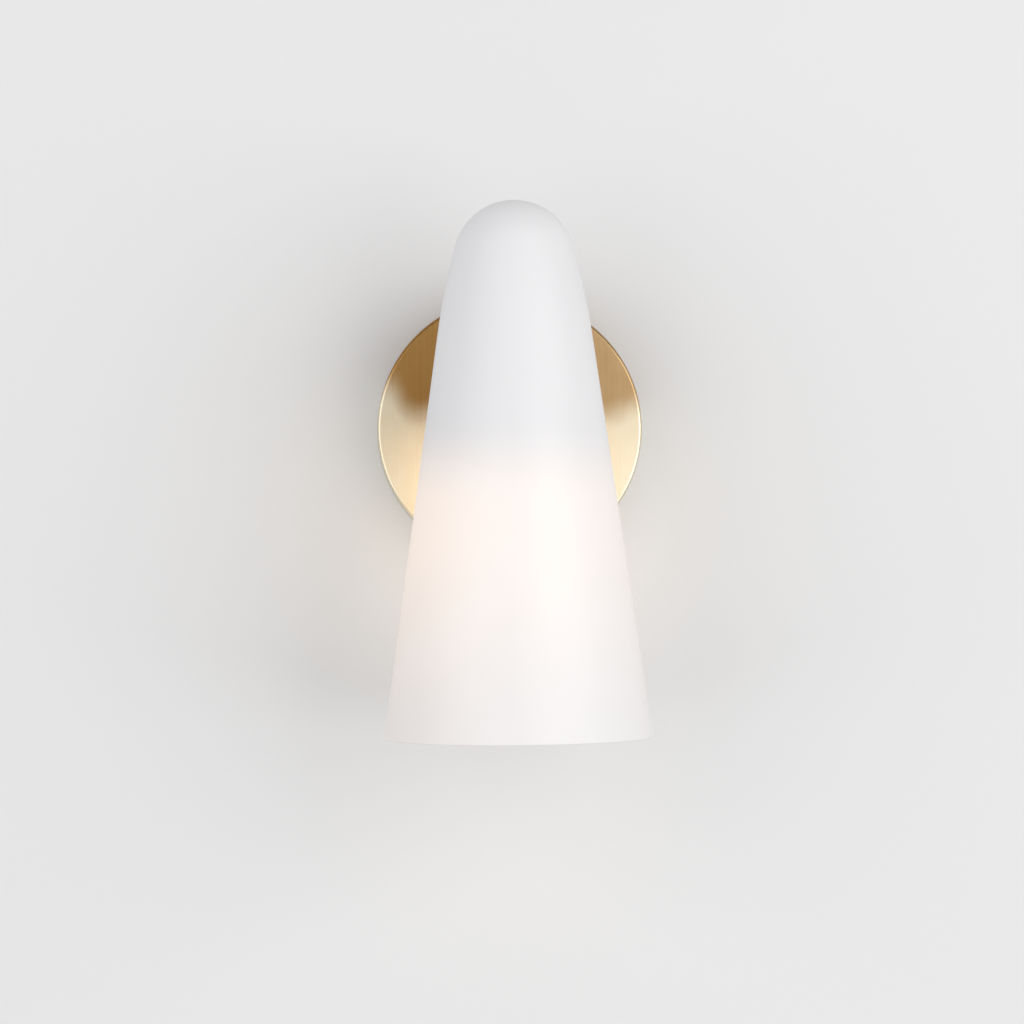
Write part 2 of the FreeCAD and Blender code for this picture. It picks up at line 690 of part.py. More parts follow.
def draw_shade_section(sketch):
    """Half section of the glass wall: dome, long shoulder and straight cone, outside and inside."""
    centre, middle, dome_join, cone_join, rim = shade_curve()
    wall = number("Dim.shade_wall")
    dome_rad = number(DOME_RAD)
    shoulder_rad = number("Dim.shoulder_rad")
    dome_lean = math.atan2(dome_join.y - centre.y, dome_join.x - centre.x)
    cone_lean = math.atan2(cone_join.y - middle.y, cone_join.x - middle.x)
    inner_join = cone_join + (middle - cone_join).normalize() * wall
    inner_rim = Vector(number(f"Dim.rim_rad - {GLASS_DEEP}"), rim.y, 0)
    dome = draw_arc(sketch, centre, dome_rad, dome_lean, math.pi / 2)
    shoulder = draw_arc(sketch, middle, shoulder_rad, cone_lean, dome_lean)
    cone = sketch.addGeometry(Part.LineSegment(cone_join, rim))
    base = sketch.addGeometry(Part.LineSegment(rim, inner_rim))
    cone_in = sketch.addGeometry(Part.LineSegment(inner_rim, inner_join))
    shoulder_in = draw_arc(sketch, middle, shoulder_rad - wall, cone_lean, dome_lean)
    dome_in = draw_arc(sketch, centre, dome_rad - wall, dome_lean, math.pi / 2)
    apex_out = centre + Vector(0, dome_rad, 0)
    apex_in = centre + Vector(0, dome_rad - wall, 0)
    axis = sketch.addGeometry(Part.LineSegment(apex_in, apex_out))
    for kind, one, end, other, start in (
            ("Tangent", dome, 1, shoulder, 2), ("Tangent", shoulder, 1, cone, 1),
            ("Coincident", cone, 2, base, 1), ("Coincident", base, 2, cone_in, 1),
            ("Tangent", cone_in, 2, shoulder_in, 1), ("Tangent", shoulder_in, 2, dome_in, 1),
            ("Coincident", dome_in, 2, axis, 1), ("Coincident", axis, 2, dome, 2),
            ("Coincident", dome, 3, dome_in, 3), ("Coincident", shoulder, 3, shoulder_in, 3)):
        sketch.addConstraint(Sketcher.Constraint(kind, one, end, other, start))
    for arc, spot in ((dome, 3), (dome, 2), (dome_in, 2)):
        sketch.addConstraint(Sketcher.Constraint("PointOnObject", arc, spot, -2))
    sketch.addConstraint(Sketcher.Constraint("Horizontal", base))
    sketch.addConstraint(Sketcher.Constraint("Parallel", cone, cone_in))
    bind(sketch, "Radius", (dome,), DOME_RAD)
    bind(sketch, "Radius", (dome_in,), f"{DOME_RAD} - Dim.shade_wall")
    bind(sketch, "Radius", (shoulder,), "Dim.shoulder_rad")
    bind(sketch, "DistanceY", (-1, 1, dome, 2), "Dim.shade_rise")
    bind(sketch, "DistanceY", (-1, 1, cone, 2), "-Dim.shade_drop")
    bind(sketch, "DistanceX", (-1, 1, cone, 2), "Dim.rim_rad")
    lean = math.atan2(rim.y - cone_join.y, rim.x - cone_join.x)
    index = sketch.addConstraint(Sketcher.Constraint("Angle", cone, lean))
    sketch.setExpression(f"Constraints[{index}]", "(Dim.flare_angle - 90) * 1deg")


def draw_arc(sketch, centre, radius, start, end):
    """Arc of a circle between two angles."""
    circle = Part.Circle(centre, Vector(0, 0, 1), radius)
    return sketch.addGeometry(Part.ArcOfCircle(circle, start, end))


def make_shade():
    """Opal glass shade: one blown wall, a ground rim and a hole behind for the arm."""
    body = new_body("shade")
    section = sketch_on(body, "XZ_Plane", "shade_section")
    draw_shade_section(section)
    wall = revolve(body, section)
    foot = number("-Dim.shade_drop")
    rims = round_edges(wall.Shape, number("Dim.rim_rad"), foot)
    rims += round_edges(wall.Shape, number(f"Dim.rim_rad - {GLASS_DEEP}"), foot)
    ease(body, wall, rims, "Dim.rim_ease")
    hole = sketch_on(body, "XZ_Plane", "shade_hole")
    draw_circle(hole, "0", "0", "Dim.shade_hole_rad")
    cut_blind(body, hole, "Dim.rim_rad")
    on_shade_axis(body)


# ---------------------------------------------------------------- hub, shield, lampholder

def make_hub():
    """Turned brass hub: a cup with its floor below, screwed on the pipe's front end."""
    top = "Dim.hub_half"
    foot = "-Dim.hub_half"
    floor = f"({foot} + Dim.hub_floor)"
    body = turned("hub", [
        ("Dim.hub_lead_hole", foot), ("Dim.hub_rad", foot), ("Dim.hub_rad", top),
        ("Dim.hub_bore", top), ("Dim.hub_bore", floor), ("Dim.hub_lead_hole", floor),
    ])
    cup = body.Tip
    edges = round_edges(cup.Shape, number("Dim.hub_rad"), number(foot))
    ease(body, cup, edges, "Dim.hub_ease", "PartDesign::Chamfer")
    rear = sketch_on(body, "XZ_Plane", "hub_pipe_hole")
    draw_circle(rear, "0", "0", PIPE_THREAD)
    cut_blind(body, rear, "Dim.hub_rad + 1")
    screws = sketch_on(body, "XY_Plane", "hub_screw_holes")
    for sign in ("", "-"):
        draw_circle(screws, "0", f"{sign}Dim.screw_reach", "Dim.holder_screw_rad + Dim.thread_gap")
    cut_blind(body, screws, "Dim.hub_half + 1")
    on_shade_axis(body)


def make_hub_cap():
    """Domed cap that closes the hub, with a spigot inside it."""
    body = new_body("hub_cap")
    section = sketch_on(body, "XZ_Plane", "hub_cap_section")
    base = "Dim.hub_half"
    foot = f"{base} - Dim.cap_spigot"
    rim = f"{base} + Dim.cap_rim"
    spigot = "Dim.hub_bore - Dim.slip_gap"
    rad = number("Dim.hub_rad")
    low = number(rim)
    peak = number(f"{rim} + Dim.cap_dome")
    rise = peak - low
    ball = (rad ** 2 + rise ** 2) / (2 * rise)
    spots = [
        Vector(0, number(foot), 0), Vector(number(spigot), number(foot), 0),
        Vector(number(spigot), number(base), 0), Vector(rad, number(base), 0), Vector(rad, low, 0),
    ]
    for one, other in zip(spots, spots[1:]):
        section.addGeometry(Part.LineSegment(one, other))
    circle = Part.Circle(Vector(0, peak - ball, 0), Vector(0, 0, 1), ball)
    start = math.atan2(low - (peak - ball), rad)
    dome = section.addGeometry(Part.ArcOfCircle(circle, start, math.pi / 2))
    axis = section.addGeometry(Part.LineSegment(Vector(0, peak, 0), spots[0]))
    for side in range(3):
        section.addConstraint(Sketcher.Constraint("Coincident", side, 2, side + 1, 1))
    section.addConstraint(Sketcher.Constraint("Coincident", 3, 2, dome, 1))
    section.addConstraint(Sketcher.Constraint("Coincident", dome, 2, axis, 1))
    section.addConstraint(Sketcher.Constraint("Coincident", axis, 2, 0, 1))
    for side in (0, 2):
        section.addConstraint(Sketcher.Constraint("Horizontal", side))
    for side in (1, 3):
        section.addConstraint(Sketcher.Constraint("Vertical", side))
    section.addConstraint(Sketcher.Constraint("PointOnObject", 0, 1, -2))
    section.addConstraint(Sketcher.Constraint("PointOnObject", dome, 2, -2))
    section.addConstraint(Sketcher.Constraint("PointOnObject", dome, 3, -2))
    bind(section, "DistanceY", (-1, 1, 0, 1), foot)
    bind(section, "DistanceX", (-1, 1, 0, 2), spigot)
    bind(section, "DistanceY", (-1, 1, 2, 1), base)
    bind(section, "DistanceX", (-1, 1, 3, 1), "Dim.hub_rad")
    bind(section, "DistanceY", (-1, 1, 3, 2), rim)
    bind(section, "DistanceY", (-1, 1, dome, 2), f"{rim} + Dim.cap_dome")
    revolve(body, section)
    on_shade_axis(body)


def make_shield():
    """Round shield under the hub, its edge turned down."""
    foot = f"{HOLDER_TOP} - Dim.shield_lip"
    inside = f"{SHIELD_RAD} - Dim.shield_thick"
    body = turned("lamp_shield", [
        ("Dim.hub_lead_hole", SHIELD_TOP), (SHIELD_RAD, SHIELD_TOP),
        (SHIELD_RAD, foot), (inside, foot), (inside, HOLDER_TOP),
        ("Dim.hub_lead_hole", HOLDER_TOP),
    ])
    blank = body.Tip
    edges = round_edges(blank.Shape, number(SHIELD_RAD), number(SHIELD_TOP))
    ease(body, blank, edges, "Dim.shield_bend")
    screws = sketch_on(body, "XY_Plane", "shield_screw_holes")
    for sign in ("", "-"):
        draw_circle(screws, "0", f"{sign}Dim.screw_reach", "Dim.holder_screw_rad + Dim.slip_gap")
    cut_through(body, screws)
    on_shade_axis(body)


def make_lampholder():
    """Ceramic lampholder: two pin sockets below, two lead holes above, two sunk screws."""
    body = turned("lampholder", [
        ("0", HOLDER_FOOT), ("Dim.holder_rad", HOLDER_FOOT),
        ("Dim.holder_rad", HOLDER_TOP), ("0", HOLDER_TOP),
    ])
    block = body.Tip
    edges = round_edges(block.Shape, number("Dim.holder_rad"), number(HOLDER_FOOT))
    ease(body, block, edges, "Dim.holder_ease")
    screws = sketch_on(body, "XY_Plane", "holder_screw_holes")
    for sign in ("", "-"):
        draw_circle(screws, "0", f"{sign}Dim.screw_reach", "Dim.holder_screw_rad + Dim.slip_gap")
    cut_through(body, screws)
    sinks = sketch_on(body, "XY_Plane", "holder_sinks")
    sinks.setExpression(".AttachmentOffset.Base.z", HOLDER_FOOT)
    for sign in ("", "-"):
        draw_circle(sinks, "0", f"{sign}Dim.screw_reach", "Dim.holder_head_rad + Dim.slip_gap")
    cut_blind(body, sinks, "Dim.holder_sink", reverse=True)
    sockets = sketch_on(body, "XY_Plane", "holder_sockets")
    sockets.setExpression(".AttachmentOffset.Base.z", HOLDER_FOOT)
    draw_pin_pair(sockets, "Dim.soft_gap")
    cut_blind(body, sockets, "Dim.pin_length", reverse=True)
    leads = sketch_on(body, "XY_Plane", "holder_lead_holes")
    leads.setExpression(".AttachmentOffset.Base.z", HOLDER_TOP)
    for sign in ("", "-"):
        draw_circle(leads, f"{sign}Dim.lead_end_half", "0", "Dim.lead_rad + Dim.slip_gap")
    cut_blind(body, leads, "Dim.entry_deep")
    on_shade_axis(body)


def draw_pin_pair(sketch, gap):
    """Two upright rectangles, one for each lamp pin, grown by a gap."""
    half_wide = f"(Dim.pin_thick / 2 + {gap})"
    half_deep = f"(Dim.pin_width / 2 + {gap})"
    for centre in ("Dim.pin_half", "-Dim.pin_half"):
        draw_outline(sketch, box_corners(
            f"{centre} - {half_wide}", f"{centre} + {half_wide}", f"-{half_deep}", half_deep))


def make_holder_screws():
    """Two screws from below through lampholder and shield into the hub's floor."""
    seat = f"{HOLDER_FOOT} + Dim.holder_sink"
    body = turned("lampholder_screws", [
        ("0", f"{seat} - Dim.holder_head_thick"),
        ("Dim.holder_head_rad", f"{seat} - Dim.holder_head_thick"),
        ("Dim.holder_head_rad", seat), ("Dim.holder_screw_rad", seat),
        ("Dim.holder_screw_rad", "-Dim.hub_half + Dim.hub_floor"),
        ("0", "-Dim.hub_half + Dim.hub_floor"),
    ])
    screw = body.Tip
    body.setExpression(".Placement.Base.y", "-Dim.axis_reach - Dim.screw_reach")
    pattern = body.newObject("PartDesign::LinearPattern", "lampholder_screw_pair")
    pattern.Originals = [screw]
    pattern.Direction = (origin_part(body, "Y_Axis"), [""])
    pattern.setExpression("Length", "2 * Dim.screw_reach")
    pattern.Occurrences = 2
    body.Tip = pattern
    doc.recompute()


# ---------------------------------------------------------------- lamp

def make_lamp_base():
    """Ceramic foot of the lamp, with a narrower neck for its glass."""
    neck = "Dim.lamp_base_rad - Dim.lamp_neck"
    body = turned("lamp_base", [
        ("0", f"{LAMP_SHOULDER} - Dim.lamp_neck"), (neck, f"{LAMP_SHOULDER} - Dim.lamp_neck"),
        (neck, LAMP_SHOULDER), ("Dim.lamp_base_rad", LAMP_SHOULDER),
        ("Dim.lamp_base_rad", LAMP_TOP), ("0", LAMP_TOP),
    ])
    on_shade_axis(body)


def make_lamp_pins():
    """Two flat contact pins that push up into the lampholder."""
    body = new_body("lamp_pins")
    pins = sketch_on(body, "XY_Plane", "pin_section")
    pins.setExpression(".AttachmentOffset.Base.z", LAMP_TOP)
    draw_pin_pair(pins, "0")
    pad(body, pins, "Dim.pin_length")
    on_shade_axis(body)


def make_lamp_glass():
    """Frosted capsule: a tube with a round end, closed on the base's neck."""
    body = new_body("lamp_glass")
    section = sketch_on(body, "XZ_Plane", "lamp_glass_section")
    draw_capsule(section)
    revolve(body, section)
    on_shade_axis(body)


def draw_capsule(sketch):
    """Section of the capsule's wall: outer side, round end, inner round end, inner side."""
    top = f"({LAMP_SHOULDER} - Dim.slip_gap)"
    inside = "(Dim.lamp_rad - Dim.lamp_glass)"
    centre = f"({top} - Dim.lamp_tall + Dim.lamp_rad)"
    high = number(top)
    mid = Vector(0, number(centre), 0)
    out_rad = number("Dim.lamp_rad")
    in_rad = number(inside)
    outer = sketch.addGeometry(
        Part.LineSegment(Vector(out_rad, high, 0), Vector(out_rad, mid.y, 0)))
    outer_end = draw_arc(sketch, mid, out_rad, -math.pi / 2, 0)
    pole = sketch.addGeometry(
        Part.LineSegment(Vector(0, mid.y - out_rad, 0), Vector(0, mid.y - in_rad, 0)))
    inner_end = draw_arc(sketch, mid, in_rad, -math.pi / 2, 0)
    inner = sketch.addGeometry(
        Part.LineSegment(Vector(in_rad, mid.y, 0), Vector(in_rad, high, 0)))
    mouth = sketch.addGeometry(
        Part.LineSegment(Vector(in_rad, high, 0), Vector(out_rad, high, 0)))
    sketch.addConstraint(Sketcher.Constraint("Tangent", outer, 2, outer_end, 2))
    sketch.addConstraint(Sketcher.Constraint("Coincident", outer_end, 1, pole, 1))
    sketch.addConstraint(Sketcher.Constraint("Coincident", pole, 2, inner_end, 1))
    sketch.addConstraint(Sketcher.Constraint("Tangent", inner_end, 2, inner, 1))
    sketch.addConstraint(Sketcher.Constraint("Coincident", inner, 2, mouth, 1))
    sketch.addConstraint(Sketcher.Constraint("Coincident", mouth, 2, outer, 1))
    sketch.addConstraint(Sketcher.Constraint("Coincident", outer_end, 3, inner_end, 3))
    sketch.addConstraint(Sketcher.Constraint("PointOnObject", outer_end, 3, -2))
    sketch.addConstraint(Sketcher.Constraint("PointOnObject", pole, 1, -2))
    sketch.addConstraint(Sketcher.Constraint("PointOnObject", pole, 2, -2))
    sketch.addConstraint(Sketcher.Constraint("Horizontal", mouth))
    bind(sketch, "Radius", (outer_end,), "Dim.lamp_rad")
    bind(sketch, "Radius", (inner_end,), inside)
    bind(sketch, "DistanceY", (-1, 1, outer, 1), top)
    bind(sketch, "DistanceY", (-1, 1, outer_end, 3), centre)


def make_emitter():
    """Ceramic rod with the light-giving chips, standing on the lamp's neck."""
    top = f"{LAMP_SHOULDER} - Dim.lamp_neck"
    body = turned("lamp_emitter", [
        ("0", f"{top} - Dim.emitter_tall"), ("Dim.emitter_rad", f"{top} - Dim.emitter_tall"),
        ("Dim.emitter_rad", top), ("0", top),
    ])
    on_shade_axis(body)


# ---------------------------------------------------------------- leads

def bent_path(points, bend):
    """Wire of straight runs joined by arcs that touch both runs."""
    edges = []
    start = points[0]
    for before, corner, after in zip(points, points[1:], points[2:]):
        towards = (corner - before).normalize()
        away = (after - corner).normalize()
        turn = math.acos(max(-1.0, min(1.0, towards.dot(away))))
        reach = bend * math.tan(turn / 2)
        enter = corner - towards * reach
        leave = corner + away * reach
        to_centre = (away - towards).normalize()
        middle = corner + to_centre * (bend / math.cos(turn / 2) - bend)
        edges.append(Part.LineSegment(start, enter).toShape())
        edges.append(Part.Arc(enter, middle, leave).toShape())
        start = leave
    edges.append(Part.LineSegment(start, points[-1]).toShape())
    return Part.Wire(edges)


def lead_route(side):
    """Route of a lead from the block through the pipe and down into the lampholder."""
    block_y = -number("Dim.bracket_thick + Dim.block_deep / 2")
    block_z = number("Dim.block_low")
    axis_y = -number("Dim.axis_reach")
    entry = number("Dim.entry_deep - Dim.slip_gap")
    pole = side * number("Dim.pole_half")
    inner = side * number("Dim.lead_half")
    last = side * number("Dim.lead_end_half")
    top = number(HOLDER_TOP)
    return bent_path([
        Vector(pole, block_y, block_z + entry), Vector(pole, block_y, block_z - 2),
        Vector(inner, block_y, 0), Vector(inner, axis_y, 0),
        Vector(last, axis_y, top + 2), Vector(last, axis_y, top - entry),
    ], number("Dim.lead_bend"))


def lead_shape(name, side):
    """Round tube along the lead's route."""
    radius = number("Dim.lead_rad")
    path = lead_route(side)
    first = path.OrderedEdges[0]
    start = first.valueAt(first.FirstParameter)
    circle = Part.Wire([Part.makeCircle(radius, start, first.tangentAt(first.FirstParameter))])
    tube = path.makePipeShell([circle], True, False)
    expected = math.pi * radius ** 2 * path.Length
    print(f"{name}: route {path.Length:.1f} mm, volume ratio {tube.Volume / expected:.4f}")
    return tube


def make_leads():
    """Both leads, each a node of its own."""
    for name, side in (("live_lead", -1), ("neutral_lead", 1)):
        lead = doc.addObject("Part::Feature", name)
        lead.Label = name
        lead.Shape = lead_shape(name, side)
        nodes.append(lead)


# ---------------------------------------------------------------- assembly

make_bracket()
make_earth_screw()
make_terminal_block()
make_terminal_screws()
make_block_screw()
make_backplate()
make_side_screws()
make_pipe()
make_plate_washer()
make_nut("plate_nut", f"{PLATE_BACK} - Dim.washer_thick - Dim.nut_thick")
make_collar()
make_arm()
make_cup()
make_outer_gasket()
make_shade()
make_inner_gasket()
make_clamp_washer()
make_ring_nut()
make_nut("hub_nut", f"{HUB_REAR} - Dim.nut_thick")
make_hub()
make_hub_cap()
make_shield()
make_lampholder()
make_holder_screws()
make_lamp_base()
make_lamp_pins()
make_lamp_glass()
make_emitter()
make_leads()
doc.recompute()

for item in doc.Objects:
    if "Invalid" in item.State or "Error" in item.State:
        raise RuntimeError(f"{item.Name} failed: {item.State}")
os.makedirs("parts", exist_ok=True)
for node in nodes:
    if node.Shape.isNull() or not node.Shape.isValid() or not node.Shape.Solids:
        raise RuntimeError(f"{node.Label} has no valid solid")
    node.Shape.exportStep(f"parts/{node.Label}.step")
    print(f"{node.Label}: {len(node.Shape.Solids)} solid(s), {node.Shape.Volume:.1f} mm3")
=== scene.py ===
"""Dresses the wall sconce: satin opal glass shade, brushed brass plate, lamp and fittings.

Metres. +Z is up, the wall is the plane y = 0 and the room is towards -Y. Turned pieces are
drawn as (radius, along) stations, spun about an axis, and their sharp edges then eased.
"""

import logging
import math
from dataclasses import dataclass, field
from enum import Enum
from functools import cached_property
from typing import Callable, Sequence

import bmesh
import bpy
from mathutils import Matrix, Vector


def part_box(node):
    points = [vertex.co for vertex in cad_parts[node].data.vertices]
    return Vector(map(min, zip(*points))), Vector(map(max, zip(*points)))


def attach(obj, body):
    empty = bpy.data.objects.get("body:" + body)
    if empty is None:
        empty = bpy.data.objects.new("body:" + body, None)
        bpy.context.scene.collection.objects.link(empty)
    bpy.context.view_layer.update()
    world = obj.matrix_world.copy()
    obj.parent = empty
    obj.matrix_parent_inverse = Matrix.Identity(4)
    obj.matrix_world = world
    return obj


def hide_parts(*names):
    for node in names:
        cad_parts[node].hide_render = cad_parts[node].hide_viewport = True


logging.basicConfig(level=logging.INFO, format="%(message)s")
LOG = logging.getLogger("sconce")

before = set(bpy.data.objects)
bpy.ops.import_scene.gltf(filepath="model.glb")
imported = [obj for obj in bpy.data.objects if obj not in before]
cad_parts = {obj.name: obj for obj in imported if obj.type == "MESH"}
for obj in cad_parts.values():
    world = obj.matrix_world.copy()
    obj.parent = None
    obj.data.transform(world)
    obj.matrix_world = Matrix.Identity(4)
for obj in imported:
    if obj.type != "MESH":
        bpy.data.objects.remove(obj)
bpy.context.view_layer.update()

MM = 0.001
BRUSHING = "brushing"
ROOM = (0, -1, 0)
SIDES = (-1, 1)
NOISE_SPAN = (0.3, 0.7)
UV_PER_METRE = 10
UV_EDGE_SLANT = 0.3
UV_FACE_SLANT = 7

Pair = tuple[float, float]
Triple = tuple[float, float, float]
Socket = bpy.types.NodeSocket
Material = bpy.types.Material
Mesh = bmesh.types.BMesh
Piece = bpy.types.Object
Cutter = tuple[Mesh, Matrix]


# ---------------------------------------------------------------- colour and nodes

def linear(code: str) -> tuple[float, float, float, float]:
    """Turn an sRGB hex colour into linear red, green, blue and a full alpha.

    Args:
        code: Six hex digits, such as "e8d9b0".

    Returns:
        The linear colour with alpha 1.
    """
    parts = [int(code[index:index + 2], 16) / 255 for index in (0, 2, 4)]
    bent = [part / 12.92 if part <= 0.04045 else ((part + 0.055) / 1.055) ** 2.4 for part in parts]
    return (*bent, 1.0)


class Nodes:
    """Node tree of a material or world, with short ways to add what the finishes need."""

    def __init__(self, owner: Material | bpy.types.World) -> None:
        """Take the owner's node tree and empty it."""
        owner.use_nodes = True
        self.owner = owner
        self.tree = owner.node_tree
        self.tree.nodes.clear()

    def add(self, kind: str, settings: dict | None = None,
            inputs: dict | None = None) -> bpy.types.Node:
        """Add one node, set its properties and fill or link its inputs.

        Args:
            kind: Blender's name of the node type, without "ShaderNode" before it.
            settings: Properties of the node.
            inputs: Input name or index, to a value or to the socket that feeds it.

        Returns:
            The new node.
        """
        node = self.tree.nodes.new(f"ShaderNode{kind}")
        for name, value in (settings or {}).items():
            setattr(node, name, value)
        for name, value in (inputs or {}).items():
            if isinstance(value, Socket):
                self.tree.links.new(value, node.inputs[name])
            else:
                node.inputs[name].default_value = value
        return node

    def surface(self, inputs: dict) -> Material:
        """Wire a Principled shader with these inputs to the output and return the material."""
        shader = self.add("BsdfPrincipled", inputs=inputs)
        self.add("OutputMaterial", inputs={"Surface": shader.outputs[0]})
        return self.owner

    def maths(self, operation: str, *values: Socket | float) -> Socket:
        """Work out one operation on sockets or numbers."""
        return self.add("Math", {"operation": operation}, dict(enumerate(values))).outputs[0]

    def product(self, result: Socket, *others: Socket | float) -> Socket:
        """Multiply a socket by further sockets or numbers."""
        for other in others:
            result = self.maths("MULTIPLY", result, other)
        return result

    @cached_property
    def axes(self) -> list[Socket]:
        """Object coordinates, as a socket each for X, Y and Z."""
        place = self.add("TexCoord")
        return self.add("SeparateXYZ", inputs={0: place.outputs["Object"]}).outputs[:]

    def length(self, one: Socket, other: Socket) -> Socket:
        """Length of the vector that two sockets make."""
        flat = self.add("CombineXYZ", inputs={0: one, 1: other}).outputs[0]
        return self.add("VectorMath", {"operation": "LENGTH"}, {0: flat}).outputs["Value"]

    def pattern(self, cell: Triple, detail: float = 2.0) -> Socket:
        """Noise on object coordinates whose cells have a real size.

        Args:
            cell: Size of a cell along X, Y and Z, in metres.
            detail: Octaves of finer noise.

        Returns:
            Socket with the noise, which keeps near 0.5.
        """
        place = self.add("TexCoord")
        scaled = self.add("Mapping", inputs={
            "Vector": place.outputs["Object"], "Scale": tuple(1 / size for size in cell)})
        return self.add("TexNoise", inputs={
            "Vector": scaled.outputs[0], "Scale": 1.0, "Detail": detail,
            "Roughness": 0.55}).outputs[0]

    def vary(self, noise: Socket, middle: float, reach: float) -> Socket:
        """Spread a pattern evenly about a middle value."""
        return self.add("MapRange", inputs={
            "Value": noise, "From Min": NOISE_SPAN[0], "From Max": NOISE_SPAN[1],
            "To Min": middle - reach, "To Max": middle + reach}).outputs[0]

    def ramp(self, value: Socket, span: Pair, result: Pair = (0.0, 1.0)) -> Socket:
        """Change smoothly from one result to another as a value crosses a span.

        Args:
            value: Socket with the value.
            span: Where the change starts and ends.
            result: What comes out before and after it.

        Returns:
            Socket with the result.
        """
        return self.add("MapRange", {"interpolation_type": "SMOOTHSTEP"}, {
            "Value": value, "From Min": span[0], "From Max": span[1],
            "To Min": result[0], "To Max": result[1]}).outputs[0]

    def blend(self, share: Socket, one: str | Socket, other: str | Socket) -> Socket:
        """Mix two colours by a share, each a hex code or a socket."""
        ends = [linear(end) if isinstance(end, str) else end for end in (one, other)]
        return self.add("Mix", {"data_type": "RGBA"}, {
            "Factor": share, 6: ends[0], 7: ends[1]}).outputs[2]

    def relief(self, height: Socket, strength: float, depth: float) -> Socket:
        """Shallow relief of a surface, from a pattern."""
        return self.add("Bump", inputs={
            "Height": height, "Strength": strength, "Distance": depth}).outputs[0]


# ---------------------------------------------------------------- finishes

class Grain(Enum):
    """Way in which a metal was brushed or turned: size of its lines along X, Y and Z."""

    UPRIGHT = (0.5 * MM, 0.5 * MM, 60 * MM)
    ROUND_SHADE = (40 * MM, 40 * MM, 0.35 * MM)
    ROUND_ARM = (30 * MM, 0.35 * MM, 30 * MM)


@dataclass(frozen=True)
class BrushedBrass:
    """Brushed brass under clear lacquer: fine straight lines that spread highlights sideways.

    The deeper tone towards the top is painted shade, where the plate mirrors the dark room.
    The paler tone below is partly painted reflection of the glowing shade. The painted shade
    draws back near the rolled edge, which is polished.
    """

    name: str = "brass_brushed_lacquered"
    light: str = "f8ecd2"
    deep: str = "eedcb8"
    # Deeper tones towards the top: painted shade where the brass mirrors the dark room.
    shaded_light: str = "bd9257"
    shaded_deep: str = "a87b42"
    grain: Grain = Grain.UPRIGHT
    cloud_cell: Triple = (14 * MM, 14 * MM, 22 * MM)
    line_share: float = 0.6
    anisotropy: float = 0.9
    roughness: float = 0.40
    rough_spread: float = 0.07
    relief: float = 0.10
    relief_depth: float = 0.05 * MM
    shade_span: Pair = (-2 * MM, 14 * MM)
    shade_sway: float = 10 * MM
    shade_right: float = 0.8
    # The painted shade draws back near the rolled edge, most on the left, and is lighter on the
    # right: painted reflection of the studio lamps.
    shade_retreat: float = 15 * MM
    retreat_right: float = 0.3
    retreat_span: Pair = (46 * MM, 62 * MM)
    across_span: Pair = (-50 * MM, 50 * MM)
    polish_span: Pair = (61.8 * MM, 62.7 * MM)
    polish: float = 0.42

    def build(self) -> Material:
        """Return the material."""
        nodes = Nodes(bpy.data.materials.new(self.name))
        lines = nodes.pattern(self.grain.value, 3.0)
        clouds = nodes.pattern(self.cloud_cell)
        mixed = nodes.maths("MULTIPLY_ADD", lines, self.line_share,
                            nodes.product(clouds, 1 - self.line_share))
        tone = nodes.vary(mixed, 0.5, 0.5)
        radius = nodes.length(nodes.axes[0], nodes.axes[2])
        rough = nodes.vary(lines, self.roughness, self.rough_spread)
        tangent = nodes.add("Tangent", {"direction_type": "UV_MAP", "uv_map": BRUSHING})
        # Base colour: brushed brass that turns to a painted shade towards the top.
        return nodes.surface({
            "Base Color": nodes.blend(self.age(nodes, clouds, radius),
                                      nodes.blend(tone, self.deep, self.light),
                                      nodes.blend(tone, self.shaded_deep, self.shaded_light)),
            "Roughness": nodes.product(
                rough, nodes.ramp(radius, self.polish_span, (1.0, self.polish))),
            "Normal": nodes.relief(lines, self.relief, self.relief_depth),
            "Metallic": 1.0,
            "Anisotropic": self.anisotropy,
            "Tangent": tangent.outputs[0]})

    def age(self, nodes: Nodes, clouds: Socket, radius: Socket) -> Socket:
        """Share of the painted shade: the deeper tone towards the top.

        Args:
            nodes: Nodes of the material.
            clouds: Pattern that sways the tone's lower limit.
            radius: Distance from the arm's axis.

        Returns:
            Socket with the share.
        """
        across, _, height = nodes.axes
        retreat = nodes.product(
            nodes.ramp(radius, self.retreat_span, (0.0, self.shade_retreat)),
            nodes.ramp(across, self.across_span, (1.0, self.retreat_right)))
        swayed = nodes.maths("MULTIPLY_ADD", clouds, self.shade_sway, height)
        low, high = [end + self.shade_sway / 2 for end in self.shade_span]
        return nodes.product(
            nodes.ramp(nodes.maths("SUBTRACT", swayed, retreat), (low, high)),
            nodes.ramp(across, self.across_span, (1.0, self.shade_right)))


